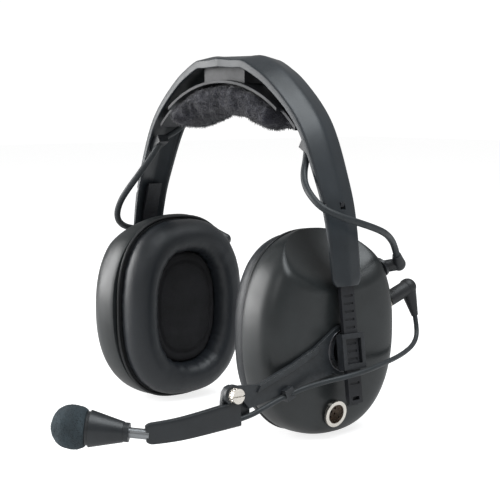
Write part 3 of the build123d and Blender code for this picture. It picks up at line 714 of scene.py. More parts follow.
def settle(piece: bpy.types.Object, held: Callable[[Vector], float], pressure: float, cap: float) -> None:
    """Puffs a closed soft piece up with a short cloth simulation, and keeps the result as its mesh.

    Args:
        piece: the closed mesh.
        held: how firmly a point is held, from 0, free, to 1, fixed.
        pressure: the pressure inside.
        cap: the furthest that any point may move.
    """
    rest = np.array([vertex.co for vertex in piece.data.vertices], float)
    group = piece.vertex_groups.new(name="held")
    for vertex in piece.data.vertices:
        group.add([vertex.index], held(vertex.co), "REPLACE")
    cloth = piece.modifiers.new("cloth", "CLOTH")
    cloth.settings.mass = 0.0004
    cloth.settings.quality = 5
    cloth.settings.use_pressure = True
    cloth.settings.uniform_pressure_force = pressure
    cloth.settings.effector_weights.gravity = 0.0
    cloth.settings.vertex_group_mass = "held"
    cloth.point_cache.frame_end = 20
    scene = bpy.context.scene
    for step in range(1, 21):
        scene.frame_set(step)
    shown = piece.evaluated_get(bpy.context.evaluated_depsgraph_get())
    mesh = shown.to_mesh()
    moved = np.array([vertex.co for vertex in mesh.vertices], float) - rest
    shown.to_mesh_clear()
    piece.modifiers.clear()
    piece.vertex_groups.clear()
    scene.frame_set(1)
    furthest = float(np.linalg.norm(moved, axis=1).max())
    share = min(1.0, cap / max(furthest, 1e-9))
    piece.data.vertices.foreach_set("co", (rest + moved * share).astype(np.float32).ravel())
    piece.data.update()
    LOG.info("%s settled: furthest move %.2f mm, kept share %.2f", piece.name, furthest * 1000, share)


def roughen(piece: bpy.types.Object, height: float, size: float, weight: Callable[[Vector], float]) -> None:
    """Moves a soft piece's points in and out by slow noise.

    Args:
        piece: the mesh.
        height: the furthest move.
        size: how wide the lumps are.
        weight: how much of the move a point gets.
    """
    normals = [vertex.normal.copy() for vertex in piece.data.vertices]
    for vertex, normal in zip(piece.data.vertices, normals):
        lump = noise.noise(vertex.co / size) + 0.4 * noise.noise(vertex.co / (size * 0.45))
        vertex.co += normal * (height * lump * weight(vertex.co))
    piece.data.update()


def stand_in(piece: bpy.types.Object, slot: str, *nodes: str) -> bpy.types.Object:
    """Gives a piece its finish, puts it on its node's body and hides the nodes that it stands for."""
    finished(piece, slot)
    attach(piece, frame["nodes"][nodes[0]]["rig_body"])
    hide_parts(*nodes)
    LOG.info("%s stands for %s: %d faces", piece.name, ", ".join(nodes), len(piece.data.polygons))
    return piece


def finished(piece: bpy.types.Object, slot: str) -> bpy.types.Object:
    """Gives a piece the finish of one of the record's slots."""
    piece.data.materials.clear()
    piece.data.materials.append(FINISHES[slot].material())
    return piece


def dress_cad_nodes() -> None:
    """Gives every node of the frame the finish of its own slot."""
    for row in frame["record"]["subparts"]:
        node = frame["nodes"][row["node"]]
        material = FINISHES[row["material_slot"]].material()
        if not node.material_slots:
            node.data.materials.append(material)
        for place in node.material_slots:
            place.material = material
        LOG.info("%s dressed as %s", row["node"], row["material_slot"])


# ---- Headband ------------------------------------------------------------------------------------
@dataclass
class HeadBand:
    """Moulded outer band: a crowned channel with a soft ridge down the middle of its outer face."""

    bends: tuple = (
        (0.0, 0.0),
        (0.012, 0.0),
        (0.0222, -0.0003),
        (0.0412, -0.0099),
        (0.0644, -0.0325),
        (0.0788, -0.0640),
        (0.08485, -0.0860),
        (0.0886, -0.1160),
    )
    half_width: float = 0.015
    end_half_width: float = 0.0094
    crown: float = 0.0040
    end_crown: float = 0.0016
    lip: float = 0.0046
    end_lip: float = 0.0018
    wall: float = 0.0018
    corner: float = 0.0007
    ridge: float = 0.10
    top_crown: float = 0.3

    def section(self, share: float, narrowing: float) -> list[tuple[float, float]]:
        """The channel's closed outline, across and outward.

        Args:
            share: how far along the arm it is, from 0 in the middle of the band to 1 at the end.
            narrowing: how much narrower the rounded end makes it.

        Returns:
            The outline's points.
        """
        half = self.half_width - (self.half_width - self.end_half_width) * share**0.7 - narrowing
        crown = self.crown + (self.end_crown - self.crown) * share
        crown *= min(1.0, self.top_crown + 3.5 * share)
        lip = self.lip + (self.end_lip - self.lip) * share
        inner = half - self.wall
        round_off = self.corner

        def sag(side: float) -> float:
            """How far the crown has dropped at that share of the half width."""
            full = math.hypot(1, self.ridge) - self.ridge
            return crown * (math.hypot(side, self.ridge) - self.ridge) / full

        reach = 1 - round_off / half
        outer = [(half * side, -sag(side)) for side in np.linspace(-reach, reach, 17)]
        foot = -crown - lip
        edge = [
            (half - 0.3 * round_off, -sag(1) - 0.3 * round_off),
            (half, -sag(1) - round_off),
            (half, foot + 0.4 * round_off),
            (half - 0.4 * round_off, foot),
            (inner + 0.4 * round_off, foot),
            (inner, foot + 0.4 * round_off),
            (inner, -self.wall - crown - 0.3 * round_off),
        ]
        under = [(inner * side, -self.wall - sag(side)) for side in np.linspace(0.94, -0.94, 11)]
        return outer + edge + under + [(-across, depth) for across, depth in reversed(edge)]

    def build(self) -> bpy.types.Object:
        """Skins the section along the band and cuts the snap windows of the size straps."""
        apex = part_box("outer_band")[1].z
        arm = [(x, apex + drop) for x, drop in self.bends]
        whole = smooth_path([(-x, z) for x, z in reversed(arm)] + arm[1:], 241, rounds=5)
        step = float(np.linalg.norm(whole[1] - whole[0]))
        middle = len(whole) // 2
        rings = []
        for index, (x, z) in enumerate(whole):
            before, after = whole[max(index - 1, 0)], whole[min(index + 1, len(whole) - 1)]
            along = Vector(after - before).normalized()
            outward = Vector((-along.y, along.x))
            share = abs(index - middle) / middle
            from_end = step * (middle - abs(index - middle))
            narrowing = 0.0022 * max(0.0, 1 - from_end / 0.004) ** 2
            rings.append(
                [
                    Vector((x + outward.x * d, across, z + outward.y * d))
                    for across, d in self.section(share, narrowing)
                ]
            )
        band = new_piece("headband_skin", *skin_rings(rings))
        drilled(band, [self.snap_window(side, y, size) for side in Side for y, size in self.snap_places()])
        return stand_in(band, "band_plastic", "outer_band")

    def snap_places(self) -> tuple:
        """Where the snap windows are across the arm, with their sizes."""
        return ((0.0, (0.012, 0.0034, 0.0032)), (-self.end_half_width - 0.0012, (0.0024, 0.0024, 0.0026)))

    def snap_window(self, side: Side, y: float, size: Point) -> bpy.types.Object:
        """A block that cuts one snap window where the arm passes its strap's tab."""
        piece = new_piece("window_cutter", *skin_rings(block_rings(size)))
        place = Matrix.Translation((side.value * 0.080, y, -0.0455)) @ Matrix.Rotation(
            side.value * math.radians(17), 4, "Y"
        )
        piece.data.transform(place)
        return piece


def block_rings(size: Point) -> list[list[Vector]]:
    """The two square ends of a block about the origin."""
    x, y, z = (extent / 2 for extent in size)
    return [[Vector((end, a * y, b * z)) for a, b in ((-1, -1), (1, -1), (1, 1), (-1, 1))] for end in (-x, x)]


@dataclass
class HeadPad:
    """Fleece pad under the suspension strap: a soft roll with matted tufts."""

    radius: float = 0.0725
    reach_degrees: float = 35.0
    half_width: float = 0.0150
    thickness: float = 0.0142
    tufts: int = 9000
    tuft_length: float = 0.0015

    def build(self) -> bpy.types.Object:
        strap_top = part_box("suspension_strap")[1].z
        centre_z = strap_top - 0.08075
        middle = 0.0785 - self.thickness / 2
        rings = []
        for turn in np.linspace(-1, 1, 75):
            angle = math.radians(self.reach_degrees) * turn
            outward = Vector((math.sin(angle), 0, math.cos(angle)))
            end = max(0.0, 1 - ((1 - abs(turn)) / 0.10)) if abs(turn) > 0.9 else 0.0
            size = math.sqrt(max(0.02, 1 - end**2))
            fullness = 1.02 - 0.22 * abs(turn) ** 3
            ring = []
            for step in range(44):
                t = 2 * math.pi * step / 44
                across = self.half_width * size * math.copysign(abs(math.cos(t)) ** 0.72, math.cos(t))
                depth = self.thickness / 2 * size * math.copysign(abs(math.sin(t)) ** 0.8, math.sin(t))
                if depth < 0:
                    depth *= fullness
                ring.append(Vector((0, across, centre_z)) + outward * (middle + depth))
            rings.append(ring)
        pad = new_piece("head_pad_fleece", *skin_rings(rings))

        def held(point: Vector) -> float:
            """The upper face is glued to the strap."""
            return 1.0 if math.hypot(point.x, point.z - centre_z) > middle + 0.006 else 0.0

        settle(pad, held, 6.0, 0.0016)
        roughen(pad, 0.0017, 0.010, lambda point: 1.0 - held(point))
        roughen(pad, 0.0007, 0.0032, lambda point: 1.0 - 0.8 * held(point))
        self.add_pile(pad, held)
        tidy_normals(pad, 180)
        return stand_in(pad, "fleece", "head_pad")

    def add_pile(self, pad: bpy.types.Object, held: Callable[[Vector], float]) -> None:
        """Plants short bent tufts all over the free faces of the pad.

        Args:
            pad: the pad's mesh, which gets the tufts.
            held: tells which points are glued down and stay bare.
        """
        dice = random.Random(11)
        mesh = pad.data
        points = [vertex.co.copy() for vertex in mesh.vertices]
        faces = [tuple(face.vertices) for face in mesh.polygons]
        free = [face for face in mesh.polygons if len(face.vertices) == 4 and not held(face.center)]
        chosen = dice.choices(free, weights=[face.area for face in free], k=self.tufts)
        for face in chosen:
            corners = [points[index] for index in face.vertices]
            u, v = dice.random(), dice.random()
            root = corners[0].lerp(corners[1], u).lerp(corners[3].lerp(corners[2], u), v)
            lean = Vector([dice.gauss(0, 0.55) for _ in range(3)])
            tip = root + (face.normal + lean).normalized() * self.tuft_length * dice.uniform(0.5, 1.3)
            side = face.normal.orthogonal().normalized() * 0.00022
            other = face.normal.cross(side)
            first = len(points)
            points += [root + side, root - side * 0.5 + other, root - side * 0.5 - other, tip]
            faces += [
                (first, first + 1, first + 3),
                (first + 1, first + 2, first + 3),
                (first + 2, first, first + 3),
            ]
        grown = bpy.data.meshes.new(pad.name)
        grown.from_pydata(points, [], faces)
        pad.data = grown


# ---- Ear cups ------------------------------------------------------------------------------------
def oval_ring(
    x: float, half_y: float, half_z: float, centre_z: float, count: int = 144, fullness: float = 2.5
) -> list[Vector]:
    """An ear-shaped closed outline across X: an oval whose corners are fuller with more fullness."""
    power = 2 / fullness
    ring = []
    for step in range(count):
        turn = 2 * math.pi * step / count
        c, s = math.cos(turn), math.sin(turn)
        y = half_y * math.copysign(abs(c) ** power, c)
        z = half_z * math.copysign(abs(s) ** power, s)
        ring.append(Vector((x, y, centre_z + z)))
    return ring


def softer_of(first: float, second: float, width: float) -> float:
    """The smaller of two values, with the change from one to the other rounded over that width."""
    share = min(1.0, max(0.0, 0.5 + 0.5 * (second - first) / width))
    return second + (first - second) * share - width * share * (1 - share)


@dataclass
class EarCup:
    """One ear cup: shell, sewn ear seal, foam and the dark seam between them."""

    side: Side
    shell_profile: tuple = (
        (0.0567, 0.0300, 0.0400),
        (0.0565, 0.0428, 0.0510),
        (0.0569, 0.0442, 0.0522),
        (0.0600, 0.0448, 0.0527),
        (0.0650, 0.0450, 0.0528),
        (0.0715, 0.0444, 0.0522),
        (0.0762, 0.0424, 0.0504),
        (0.0793, 0.0390, 0.0472),
        (0.0810, 0.0338, 0.0424),
        (0.0817, 0.0262, 0.0348),
        (0.0817, 0.0130, 0.0190),
        (0.0817, 0.0010, 0.0014),
    )
    dish_radius: float = 0.090
    dish_centre: tuple = (0.138, -0.0160)
    dish_edge: float = 0.0060
    seal_profile: tuple = (
        (0.0547, 0.05),
        (0.0532, -0.01),
        (0.0502, -0.02),
        (0.0466, 0.02),
        (0.0434, 0.11),
        (0.0408, 0.24),
        (0.0391, 0.40),
        (0.0387, 0.55),
        (0.0391, 0.70),
        (0.0408, 0.85),
        (0.0438, 0.95),
        (0.0480, 1.00),
        (0.0520, 1.00),
        (0.0547, 0.97),
    )
    seal_half: tuple = (0.0398, 0.0500)
    opening_half: tuple = (0.0222, 0.0320)

    def __post_init__(self) -> None:
        """Reads the cup's middle from the frame."""
        low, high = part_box(self.name("baffle"))
        self.centre_z = (low.z + high.z) / 2

    def name(self, node: str) -> str:
        """The name of this side's node."""
        return f"{self.side.word}_{node}"

    def placed(self, rings: Sequence[Sequence[Vector]]) -> list[list[Vector]]:
        """Puts rings that were drawn for the left ear on this cup's side."""
        return [[Vector((point.x * self.side.value, point.y, point.z)) for point in ring] for ring in rings]

    def dished(self, point: Vector) -> Vector:
        """Sinks a point of the shell's outer face into the recess that clears the arm."""
        centre_x, centre_z = self.dish_centre
        room = self.dish_radius**2 - point.y**2 - (point.z - centre_z) ** 2
        if room <= 0:
            return point
        return Vector((softer_of(point.x, centre_x - math.sqrt(room), self.dish_edge), point.y, point.z))

    def build_shell(self) -> bpy.types.Object:
        """Makes the deep rounded shell with its recess, and drills the holes of its fittings."""
        profile = smooth_path(self.shell_profile, 84)
        rings = [oval_ring(x, half_y, half_z, self.centre_z, fullness=2.3) for x, half_y, half_z in profile]
        first_outer = 16
        for ring in rings[first_outer:]:
            ring[:] = [self.dished(point) for point in ring]
        shell = new_piece(self.name("shell_skin"), *skin_rings(self.placed(rings)))
        drilled(shell, self.hole_cutters())
        return stand_in(shell, "shell_plastic", self.name("cup_shell"))

    def hole_cutters(self) -> list[bpy.types.Object]:
        """Bars that open the shell for the pivot's boss and, on the left, for the down lead's socket."""
        boss_low, boss_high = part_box(self.name("pivot_socket"))
        middle = (boss_low + boss_high) / 2
        reach = Vector((0.030 * self.side.value, 0, 0))
        pivot = Vector((0.080 * self.side.value, middle.y, middle.z))
        cutters = [round_bar("pivot_cutter", pivot - reach, pivot + reach, 0.0094)]
        if self.side is Side.LEFT:
            bore = next(mount for mount in frame["record"]["mounts"] if mount["name"] == "down_lead_socket")
            seat, axis = Vector(bore["pos_m"]), Vector(bore["axis"])
            cutters.append(round_bar("socket_cutter", seat - axis * 0.012, seat + axis * 0.012, 0.0060))
        return cutters

    def build_seal(self) -> bpy.types.Object:
        """Makes the soft ring, lets it puff up, and adds the fine pleats at its two edges."""
        outer, inner = np.array(self.seal_half), np.array(self.opening_half)
        rings = []
        for x, share in smooth_path(self.seal_profile, 44):
            half_y, half_z = outer + (inner - outer) * share
            rings.append(oval_ring(x, half_y, half_z, self.centre_z, 160))
        points, faces = skin_rings(self.placed(rings), closed_path=True)
        seal = new_piece(self.name("ear_seal_skin"), points, faces)
        back = 0.0525

        def held(point: Vector) -> float:
            """The back edge is welded to the baffle."""
            return min(1.0, max(0.0, (abs(point.x) - back + 0.004) / 0.004))

        settle(seal, held, 8.0, 0.0009)
        self.pleat(seal)
        tidy_normals(seal, 60)
        return stand_in(seal, "seal_skin", self.name("ear_seal"))

    def pleat(self, seal: bpy.types.Object) -> None:
        """Gathers the skin in fine uneven pleats near the opening and the welded edge."""
        for vertex in seal.data.vertices:
            point = vertex.co
            turn = math.atan2(point.z - self.centre_z, point.y)
            depth = abs(point.x)
            inside = math.hypot(
                point.y / self.opening_half[0], (point.z - self.centre_z) / self.opening_half[1]
            )
            near_opening = max(0.0, 1 - abs(inside - 1.05) / 0.22)
            near_back = max(0.0, (depth - 0.049) / 0.005) if inside > 1.4 else 0.0
            wave = noise.noise(Vector((math.cos(turn) * 9, math.sin(turn) * 9, 3.0 * self.side.value)))
            fine = math.sin(turn * 54 + 5 * wave)
            vertex.co += vertex.normal * (0.00022 * fine * near_opening + 0.00018 * fine * near_back)
            vertex.co += vertex.normal * (0.00035 * wave * (0.4 + near_opening))
        seal.data.update()

    def build_welt(self) -> bpy.types.Object:
        """Makes the dark piped seam between the seal and the shell."""
        outer = np.array(self.seal_half) + 0.0016
        path = oval_ring(0.0552, outer[0], outer[1], self.centre_z, 160)
        rings = []
        for index, point in enumerate(path):
            along = (path[(index + 1) % len(path)] - path[index - 1]).normalized()
            across = along.cross(Vector((1, 0, 0))).normalized()
            turns = [2 * math.pi * step / 10 for step in range(10)]
            rings.append(
                [point + (across * math.cos(t) + Vector((1, 0, 0)) * math.sin(t)) * 0.0009 for t in turns]
            )
        welt = new_piece(self.name("seal_welt"), *skin_rings(self.placed(rings), closed_path=True))
        finished(welt, "baffle_plastic")
        LOG.info("%s piped", welt.name)
        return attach(welt, self.side.word + "_cup")

    def build_liner(self) -> bpy.types.Object:
        """Makes the foam in the ear opening, with its raised field inside a pressed groove."""
        low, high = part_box(self.name("foam_liner"))
        front, back = sorted((abs(low.x), abs(high.x)))
        half = np.array(self.opening_half) - 0.0004
        rings = [oval_ring(back, *half, self.centre_z, 120)]
        for share in np.linspace(1.0, 0.04, 34):
            groove = 0.0009 * math.exp(-(((share - 0.84) / 0.03) ** 2))
            dome = 0.0012 * (1 - share**2)
            edge = 0.0010 * max(0.0, (share - 0.95) / 0.05) ** 2
            rings.append(
                oval_ring(front + 0.0012 + groove + edge - dome, *(half * share), self.centre_z, 120)
            )
        liner = new_piece(self.name("liner_pad"), *skin_rings(self.placed(rings)))
        roughen(liner, 0.0002, 0.004, lambda point: 1.0)
        tidy_normals(liner, 70)
        return stand_in(liner, "liner_foam", self.name("foam_liner"))

    def build(self) -> None:
        """Builds every piece of the cup."""
        self.build_shell()
        self.build_seal()
        self.build_welt()
        self.build_liner()


# ---- Boom and microphone -------------------------------------------------------------------------
@dataclass
class MicrophoneBoom:
    """Front half of the boom, and the foam windscreen over the microphone."""

    middles: tuple = (
        (0.0824, -0.0685, -0.1420),
        (0.0820, -0.0790, -0.1430),
        (0.0806, -0.0900, -0.1444),
        (0.0782, -0.1000, -0.1458),
        (0.0750, -0.1080, -0.1467),
        (0.0715, -0.1148, -0.1473),
    )
    half_height: tuple = (0.0062, 0.0050)
    half_thick: tuple = (0.0027, 0.0026)
    lug: tuple = (
        (-0.0604, -0.1394),
        (-0.0668, -0.1302),
        (-0.0694, -0.1287),
        (-0.0722, -0.1282),
        (-0.0748, -0.1290),
        (-0.0766, -0.1312),
        (-0.0774, -0.1360),
        (-0.0776, -0.1440),
        (-0.0680, -0.1446),
        (-0.0604, -0.1440),
    )
    lug_span: tuple = (0.0796, 0.0821)
    foam_lumps: float = 0.00035

    def build_blade(self) -> bpy.types.Object:
        """Skins the ridged blade along its curve."""
        corners = ((0.25, 1.0), (1.0, 0.3), (1.0, -1.0), (-1.0, -1.0), (-1.0, 0.3))
        outline = rounded_loop(corners, 8, 2)
        line = smooth_path(self.middles, 60, rounds=4)
        rings = []
        for index, middle in enumerate(line):
            share = index / (len(line) - 1)
            along = Vector(line[min(index + 1, len(line) - 1)] - line[max(index - 1, 0)]).normalized()
            out = -Vector((-along.y, along.x, 0)).normalized()
            up = -along.cross(out)
            height = self.half_height[0] + (self.half_height[1] - self.half_height[0]) * share
            thick = self.half_thick[0] + (self.half_thick[1] - self.half_thick[0]) * share
            tip = 1 - 0.22 * max(0.0, (share - 0.94) / 0.06) ** 2
            rings.append(
                [
                    Vector(middle) + up * (rise * height * tip) + out * (side * thick * tip)
                    for rise, side in outline
                ]
            )
        blade = new_piece("boom_blade_skin", *skin_rings(rings))
        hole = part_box("mic_cord")[0]
        inner, outer = Vector((0.0832, -0.0715, hole.z + 0.0008)), Vector((0.0842, -0.0580, hole.z + 0.0028))
        drilled(blade, [round_bar("cord_cutter", inner, outer, 0.0016)])
        return stand_in(blade, "boom_plastic", "boom_blade")

    def build_lug(self) -> bpy.types.Object:
        """Makes the flat ear that the thumbscrew clamps, with its hole."""
        lug = plate("boom_lug", self.lug, self.lug_span, 0.0004)
        low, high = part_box("thumbscrew")
        axis = (low + high) / 2
        cutter = round_bar(
            "screw_cutter", Vector((0.07, axis.y, axis.z)), Vector((0.09, axis.y, axis.z)), 0.0016
        )
        drilled(lug, [cutter])
        finished(lug, "boom_plastic")
        LOG.info("%s cut", lug.name)
        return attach(lug, "boom_front")

    def build_windscreen(self) -> bpy.types.Object:
        """Makes the foam ball with its open neck and uneven skin."""
        turn = next(joint for joint in frame["joints"] if joint["name"] == "mic_turn")
        axis = Vector(turn["axis"]).normalized()
        start = Vector(turn["pos_m"])
        across = axis.orthogonal().normalized()
        other = axis.cross(across)
        profile = ((0.0205, 0.0071), (0.0201, 0.0080), (0.0206, 0.0090), (0.0226, 0.0099), (0.0256, 0.0104))
        profile += ((0.0290, 0.0102), (0.0322, 0.0088), (0.0348, 0.0064), (0.0364, 0.0034), (0.0369, 0.0002))
        rings = []
        for distance, radius in smooth_path(profile, 70):
            turns = [2 * math.pi * step / 96 for step in range(96)]
            middle = start + axis * distance
            rings.append([middle + (across * math.cos(t) + other * math.sin(t)) * radius for t in turns])
        foam = new_piece("windscreen_foam_ball", *skin_rings(rings))
        neck = start + axis * 0.0202

        def free(point: Vector) -> float:
            """The neck is held by the housing's nose."""
            return min(1.0, max(0.0, (point - neck).dot(axis) / 0.004))

        roughen(foam, self.foam_lumps, 0.0045, free)
        roughen(foam, 0.00012, 0.0009, free)
        tidy_normals(foam, 70)
        return stand_in(foam, "windscreen_foam", "mic_windscreen")

    def build(self) -> None:
        """Builds the boom's own pieces."""
        self.build_blade()
        self.build_lug()
        self.build_windscreen()


# ---- Cords ---------------------------------------------------------------------------------------
@dataclass
class CordRun:
    """One stretch of a cord that runs between two bodies, as shares of the cord's length."""

    name: str
    bodies: tuple[str, str]
    share: tuple[float, float]


@dataclass
class Cord:
    """A cord along a given route. Its tube follows a smooth spline that has the route's points."""

    name: str
    node: str
    route: Sequence[Point]
    diameter: float
    runs: Sequence[CordRun] = field(default_factory=list)
    stiffness: str = "limp"

    def centreline(self) -> np.ndarray:
        """The line of the spline that has the route's points as its control points."""
        curve = bpy.data.curves.new(self.name + "_line", "CURVE")
        curve.dimensions = "3D"
        curve.resolution_u = 12
        spline = curve.splines.new("NURBS")
        spline.points.add(len(self.route) - 1)
        for point, place in zip(spline.points, self.route):
            point.co = (*place, 1.0)
        spline.order_u = 3
        spline.use_endpoint_u = True
        guide = bpy.data.objects.new(self.name + "_line", curve)
        mesh = bpy.data.meshes.new_from_object(guide)
        line = np.array([vertex.co for vertex in mesh.vertices], float)
        bpy.data.objects.remove(guide)
        bpy.data.meshes.remove(mesh)
        return line

    def build(self) -> None:
        line = self.centreline()
        along = np.concatenate([[0.0], np.cumsum(np.linalg.norm(np.diff(line, axis=0), axis=1))])
        for run in self.runs:
            ends = [share * along[-1] for share in run.share]
            count = max(24, round((ends[1] - ends[0]) / 0.0008))
            wanted = np.linspace(*ends, count)
            part = np.stack([np.interp(wanted, along, line[:, axis]) for axis in range(3)], axis=1)
            tube = new_piece(run.name, *skin_rings(tube_rings(part, self.diameter / 2)))
            tidy_normals(tube, 60)
            finished(tube, "cord_jacket")
            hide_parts(self.node)
            first, second = run.bodies
            if first == second:
                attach(tube, first)
            else:
                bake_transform(tube)
            LOG.info("%s laid: %.0f mm", run.name, 1000 * (ends[1] - ends[0]))


LEFT_EAR_ROUTE = (
    (0.0628, -0.0064, -0.0184),
    (0.0646, -0.0086, -0.0236),
    (0.0672, -0.0126, -0.0294),
    (0.0726, -0.0168, -0.0354),
    (0.0804, -0.0192, -0.0410),
    (0.0874, -0.0182, -0.0464),
    (0.0924, -0.0104, -0.0506),
    (0.0934, 0.0004, -0.0538),
    (0.0920, 0.0120, -0.0570),
    (0.0880, 0.0244, -0.0606),
    (0.0822, 0.0350, -0.0650),
    (0.0776, 0.0424, -0.0698),
    (0.0756, 0.0460, -0.0746),
)
RIGHT_EAR_ROUTE = (
    (-0.0628, -0.0064, -0.0184),
    (-0.0644, -0.0088, -0.0236),
    (-0.0670, -0.0126, -0.0298),
    (-0.0706, -0.0164, -0.0370),
    (-0.0750, -0.0200, -0.0444),
    (-0.0796, -0.0226, -0.0520),
    (-0.0850, -0.0214, -0.0604),
    (-0.0900, -0.0146, -0.0664),
    (-0.0928, -0.0040, -0.0694),
    (-0.0930, 0.0080, -0.0696),
    (-0.0906, 0.0206, -0.0684),
    (-0.0864, 0.0326, -0.0672),
    (-0.0804, 0.0416, -0.0684),
    (-0.0764, 0.0458, -0.0732),
)
MIC_ROUTE = (
    (0.0700, 0.0663, -0.1094),
    (0.0710, 0.0668, -0.1154),
    (0.0736, 0.0640, -0.1208),
    (0.0776, 0.0566, -0.1240),
    (0.0822, 0.0464, -0.1256),
    (0.0872, 0.0350, -0.1264),
    (0.0922, 0.0214, -0.1270),
    (0.0956, 0.0070, -0.1284),
    (0.0960, -0.0070, -0.1298),
    (0.0926, -0.0196, -0.1314),
    (0.0880, -0.0306, -0.1340),
    (0.0854, -0.0420, -0.1376),
    (0.0843, -0.0536, -0.1416),
    (0.0839, -0.0624, -0.1444),
    (0.0832, -0.0708, -0.1455),
)
CROSSOVER_HALF_ROUTE = (
    (0.0628, -0.0064, -0.0184),
    (0.0630, -0.0022, -0.0149),
    (0.0617, 0.0038, -0.0120),
    (0.0576, 0.0080, -0.0074),
    (0.0512, 0.0084, 0.0001),
    (0.0436, 0.0081, 0.0073),
    (0.0357, 0.0084, 0.0136),
    (0.0270, 0.0081, 0.0196),
    (0.0155, 0.0078, 0.0232),
)


def ear_cord(side: Side, route: Sequence[Point]) -> Cord:
    """The lead from the band to one cup, in three runs that meet on the hanger and on the knuckle."""
    word = side.word
    runs = [
        CordRun(f"{word}_ear_cord_upper", ("headband", f"{word}_hanger"), (0.0, 0.44)),
        CordRun(f"{word}_ear_cord_middle", (f"{word}_hanger", f"{word}_knuckle"), (0.44, 0.72)),
        CordRun(f"{word}_ear_cord_lower", (f"{word}_knuckle", f"{word}_cup"), (0.72, 1.0)),
    ]
    return Cord(f"{word}_ear_cord", f"{word}_ear_cord", route, 0.0036, runs)


def mic_lead() -> Cord:
    """The microphone's lead, in one run to the clip on the bracket and one to the blade."""
    runs = [
        CordRun("mic_cord_free", ("left_cup", "boom_arm"), (0.0, 0.79)),
        CordRun("mic_cord_clipped", ("boom_arm", "boom_front"), (0.79, 1.0)),
    ]
    return Cord("mic_cord", "mic_cord", MIC_ROUTE, 0.0026, runs)


def crossover_lead() -> Cord:
    """The lead that runs through the band's channel from one ear to the other."""
    far_side = tuple((-x, y, z) for x, y, z in reversed(CROSSOVER_HALF_ROUTE))
    route = CROSSOVER_HALF_ROUTE + ((0.0, 0.0081, 0.0239),) + far_side
    runs = [CordRun("crossover_lead_run", ("headband", "headband"), (0.0, 1.0))]
    return Cord("crossover_lead", "crossover_lead", route, 0.0032, runs)


# ---- Studio --------------------------------------------------------------------------------------
@dataclass
class SoftBox:
    """A large square lamp that points at the object."""

    name: str
    azimuth: float
    elevation: float
    distance: float
    size: tuple[float, float]
    brightness: float
    tint: Colour = (1.0, 1.0, 1.0)

    def build(self, target: Vector) -> None:
        """Hangs the lamp round the target. Azimuth 0 is in front of the wearer and 90 is at the left ear."""
        away = direction(self.azimuth, self.elevation)
        lamp = bpy.data.lights.new(self.name, "AREA")
        lamp.shape = "RECTANGLE"
        lamp.size, lamp.size_y = self.size
        lamp.energy = self.brightness * math.pi * self.size[0] * self.size[1]
        lamp.color = self.tint
        holder = bpy.data.objects.new(self.name, lamp)
        bpy.context.scene.collection.objects.link(holder)
        holder.location = target + away * self.distance
        holder.rotation_euler = (-away).to_track_quat("-Z", "Y").to_euler()
        LOG.info("%s hung at %.0f, %.0f degrees", self.name, self.azimuth, self.elevation)


def direction(azimuth: float, elevation: float) -> Vector:
    """The unit vector from the object towards that azimuth and elevation, in degrees."""
    a, e = math.radians(azimuth), math.radians(elevation)
    return Vector((math.sin(a) * math.cos(e), -math.cos(a) * math.cos(e), math.sin(e)))


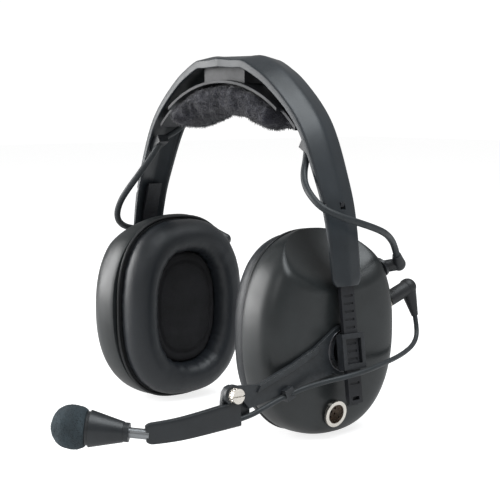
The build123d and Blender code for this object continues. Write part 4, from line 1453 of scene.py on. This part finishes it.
@dataclass
class Studio:
    """Pale floor, even white surroundings, soft boxes and the camera."""

    camera_azimuth: float = 50.0
    camera_elevation: float = 6.0
    camera_distance: float = 0.8
    lens: float = 105.4
    aim: tuple = (0.0042, 0.0050, -0.0750)
    surroundings: float = 0.32
    floor_glow: float = 0.80
    floor_bounce: float = 0.30
    boxes: tuple = (
        SoftBox("front_box", -50.0, 4.0, 1.5, (1.0, 1.7), 7.0),
        SoftBox("top_box", 105.0, 66.0, 1.3, (1.0, 0.9), 5.0, (0.92, 0.97, 1.0)),
        SoftBox("face_box", 20.0, 30.0, 1.7, (0.7, 0.7), 1.6),
    )

    def build(self) -> None:
        """Sets the whole studio up."""
        self.build_surroundings()
        self.build_floor()
        target = Vector(self.aim)
        for box in self.boxes:
            box.build(target)
        self.build_camera(target)
        bpy.context.scene.view_settings.view_transform = "Standard"

    def build_surroundings(self) -> None:
        """Lights the scene faintly from all round, with a plain white background."""
        world = bpy.data.worlds.new("studio")
        world.use_nodes = True
        backdrop = world.node_tree.nodes["Background"]
        backdrop.inputs["Color"].default_value = (1.0, 1.0, 1.0, 1.0)
        graph = Graph(world.node_tree)
        seen = graph.add("LightPath").outputs["Is Camera Ray"]
        graph.join(graph.span(seen, 0.0, 1.0, (self.surroundings, 1.05)), backdrop.inputs["Strength"])
        bpy.context.scene.world = world

    def build_floor(self) -> None:
        """Lays the floor just under the lowest point of the object."""
        height = CAD_BOX[0].z - 0.0012
        corners = [(x, y, height) for x, y in ((-4, -4), (4, -4), (4, 4), (-4, 4))]
        mesh = bpy.data.meshes.new("floor")
        mesh.from_pydata(corners, [], [(0, 1, 2, 3)])
        floor = bpy.data.objects.new("floor", mesh)
        bpy.context.scene.collection.objects.link(floor)
        material = bpy.data.materials.new("floor_paint")
        material.use_nodes = True
        paint = material.node_tree.nodes["Principled BSDF"]
        paint.inputs["Base Color"].default_value = (0.55, 0.55, 0.55, 1.0)
        paint.inputs["Roughness"].default_value = 0.9
        paint.inputs["Specular IOR Level"].default_value = 0.1
        paint.inputs["Emission Color"].default_value = (1.0, 1.0, 1.0, 1.0)
        graph = Graph(material.node_tree)
        seen = graph.add("LightPath").outputs["Is Camera Ray"]
        glow = graph.span(seen, 0.0, 1.0, (self.floor_bounce, self.floor_glow))
        graph.join(glow, paint.inputs["Emission Strength"])
        mesh.materials.append(material)

    def build_camera(self, target: Vector) -> None:
        """Puts the camera in front of the left ear cup, with a long lens."""
        camera = bpy.data.cameras.new("camera")
        camera.lens = self.lens
        camera.sensor_width = 36.0
        camera.dof.use_dof = False
        holder = bpy.data.objects.new("camera", camera)
        bpy.context.scene.collection.objects.link(holder)
        away = direction(self.camera_azimuth, self.camera_elevation)
        holder.location = target + away * self.camera_distance
        holder.rotation_euler = (-away).to_track_quat("-Z", "Y").to_euler()
        bpy.context.scene.camera = holder


def main() -> None:
    """Builds the studio, the cords and every sub-assembly in order."""
    logging.basicConfig(level=logging.INFO, format="%(name)s: %(message)s")
    Studio().build()
    dress_cad_nodes()
    ear_cord(Side.LEFT, LEFT_EAR_ROUTE).build()
    ear_cord(Side.RIGHT, RIGHT_EAR_ROUTE).build()
    mic_lead().build()
    crossover_lead().build()
    HeadBand().build()
    HeadPad().build()
    for side in Side:
        EarCup(side).build()
    MicrophoneBoom().build()


if __name__ == "__main__":
    main()
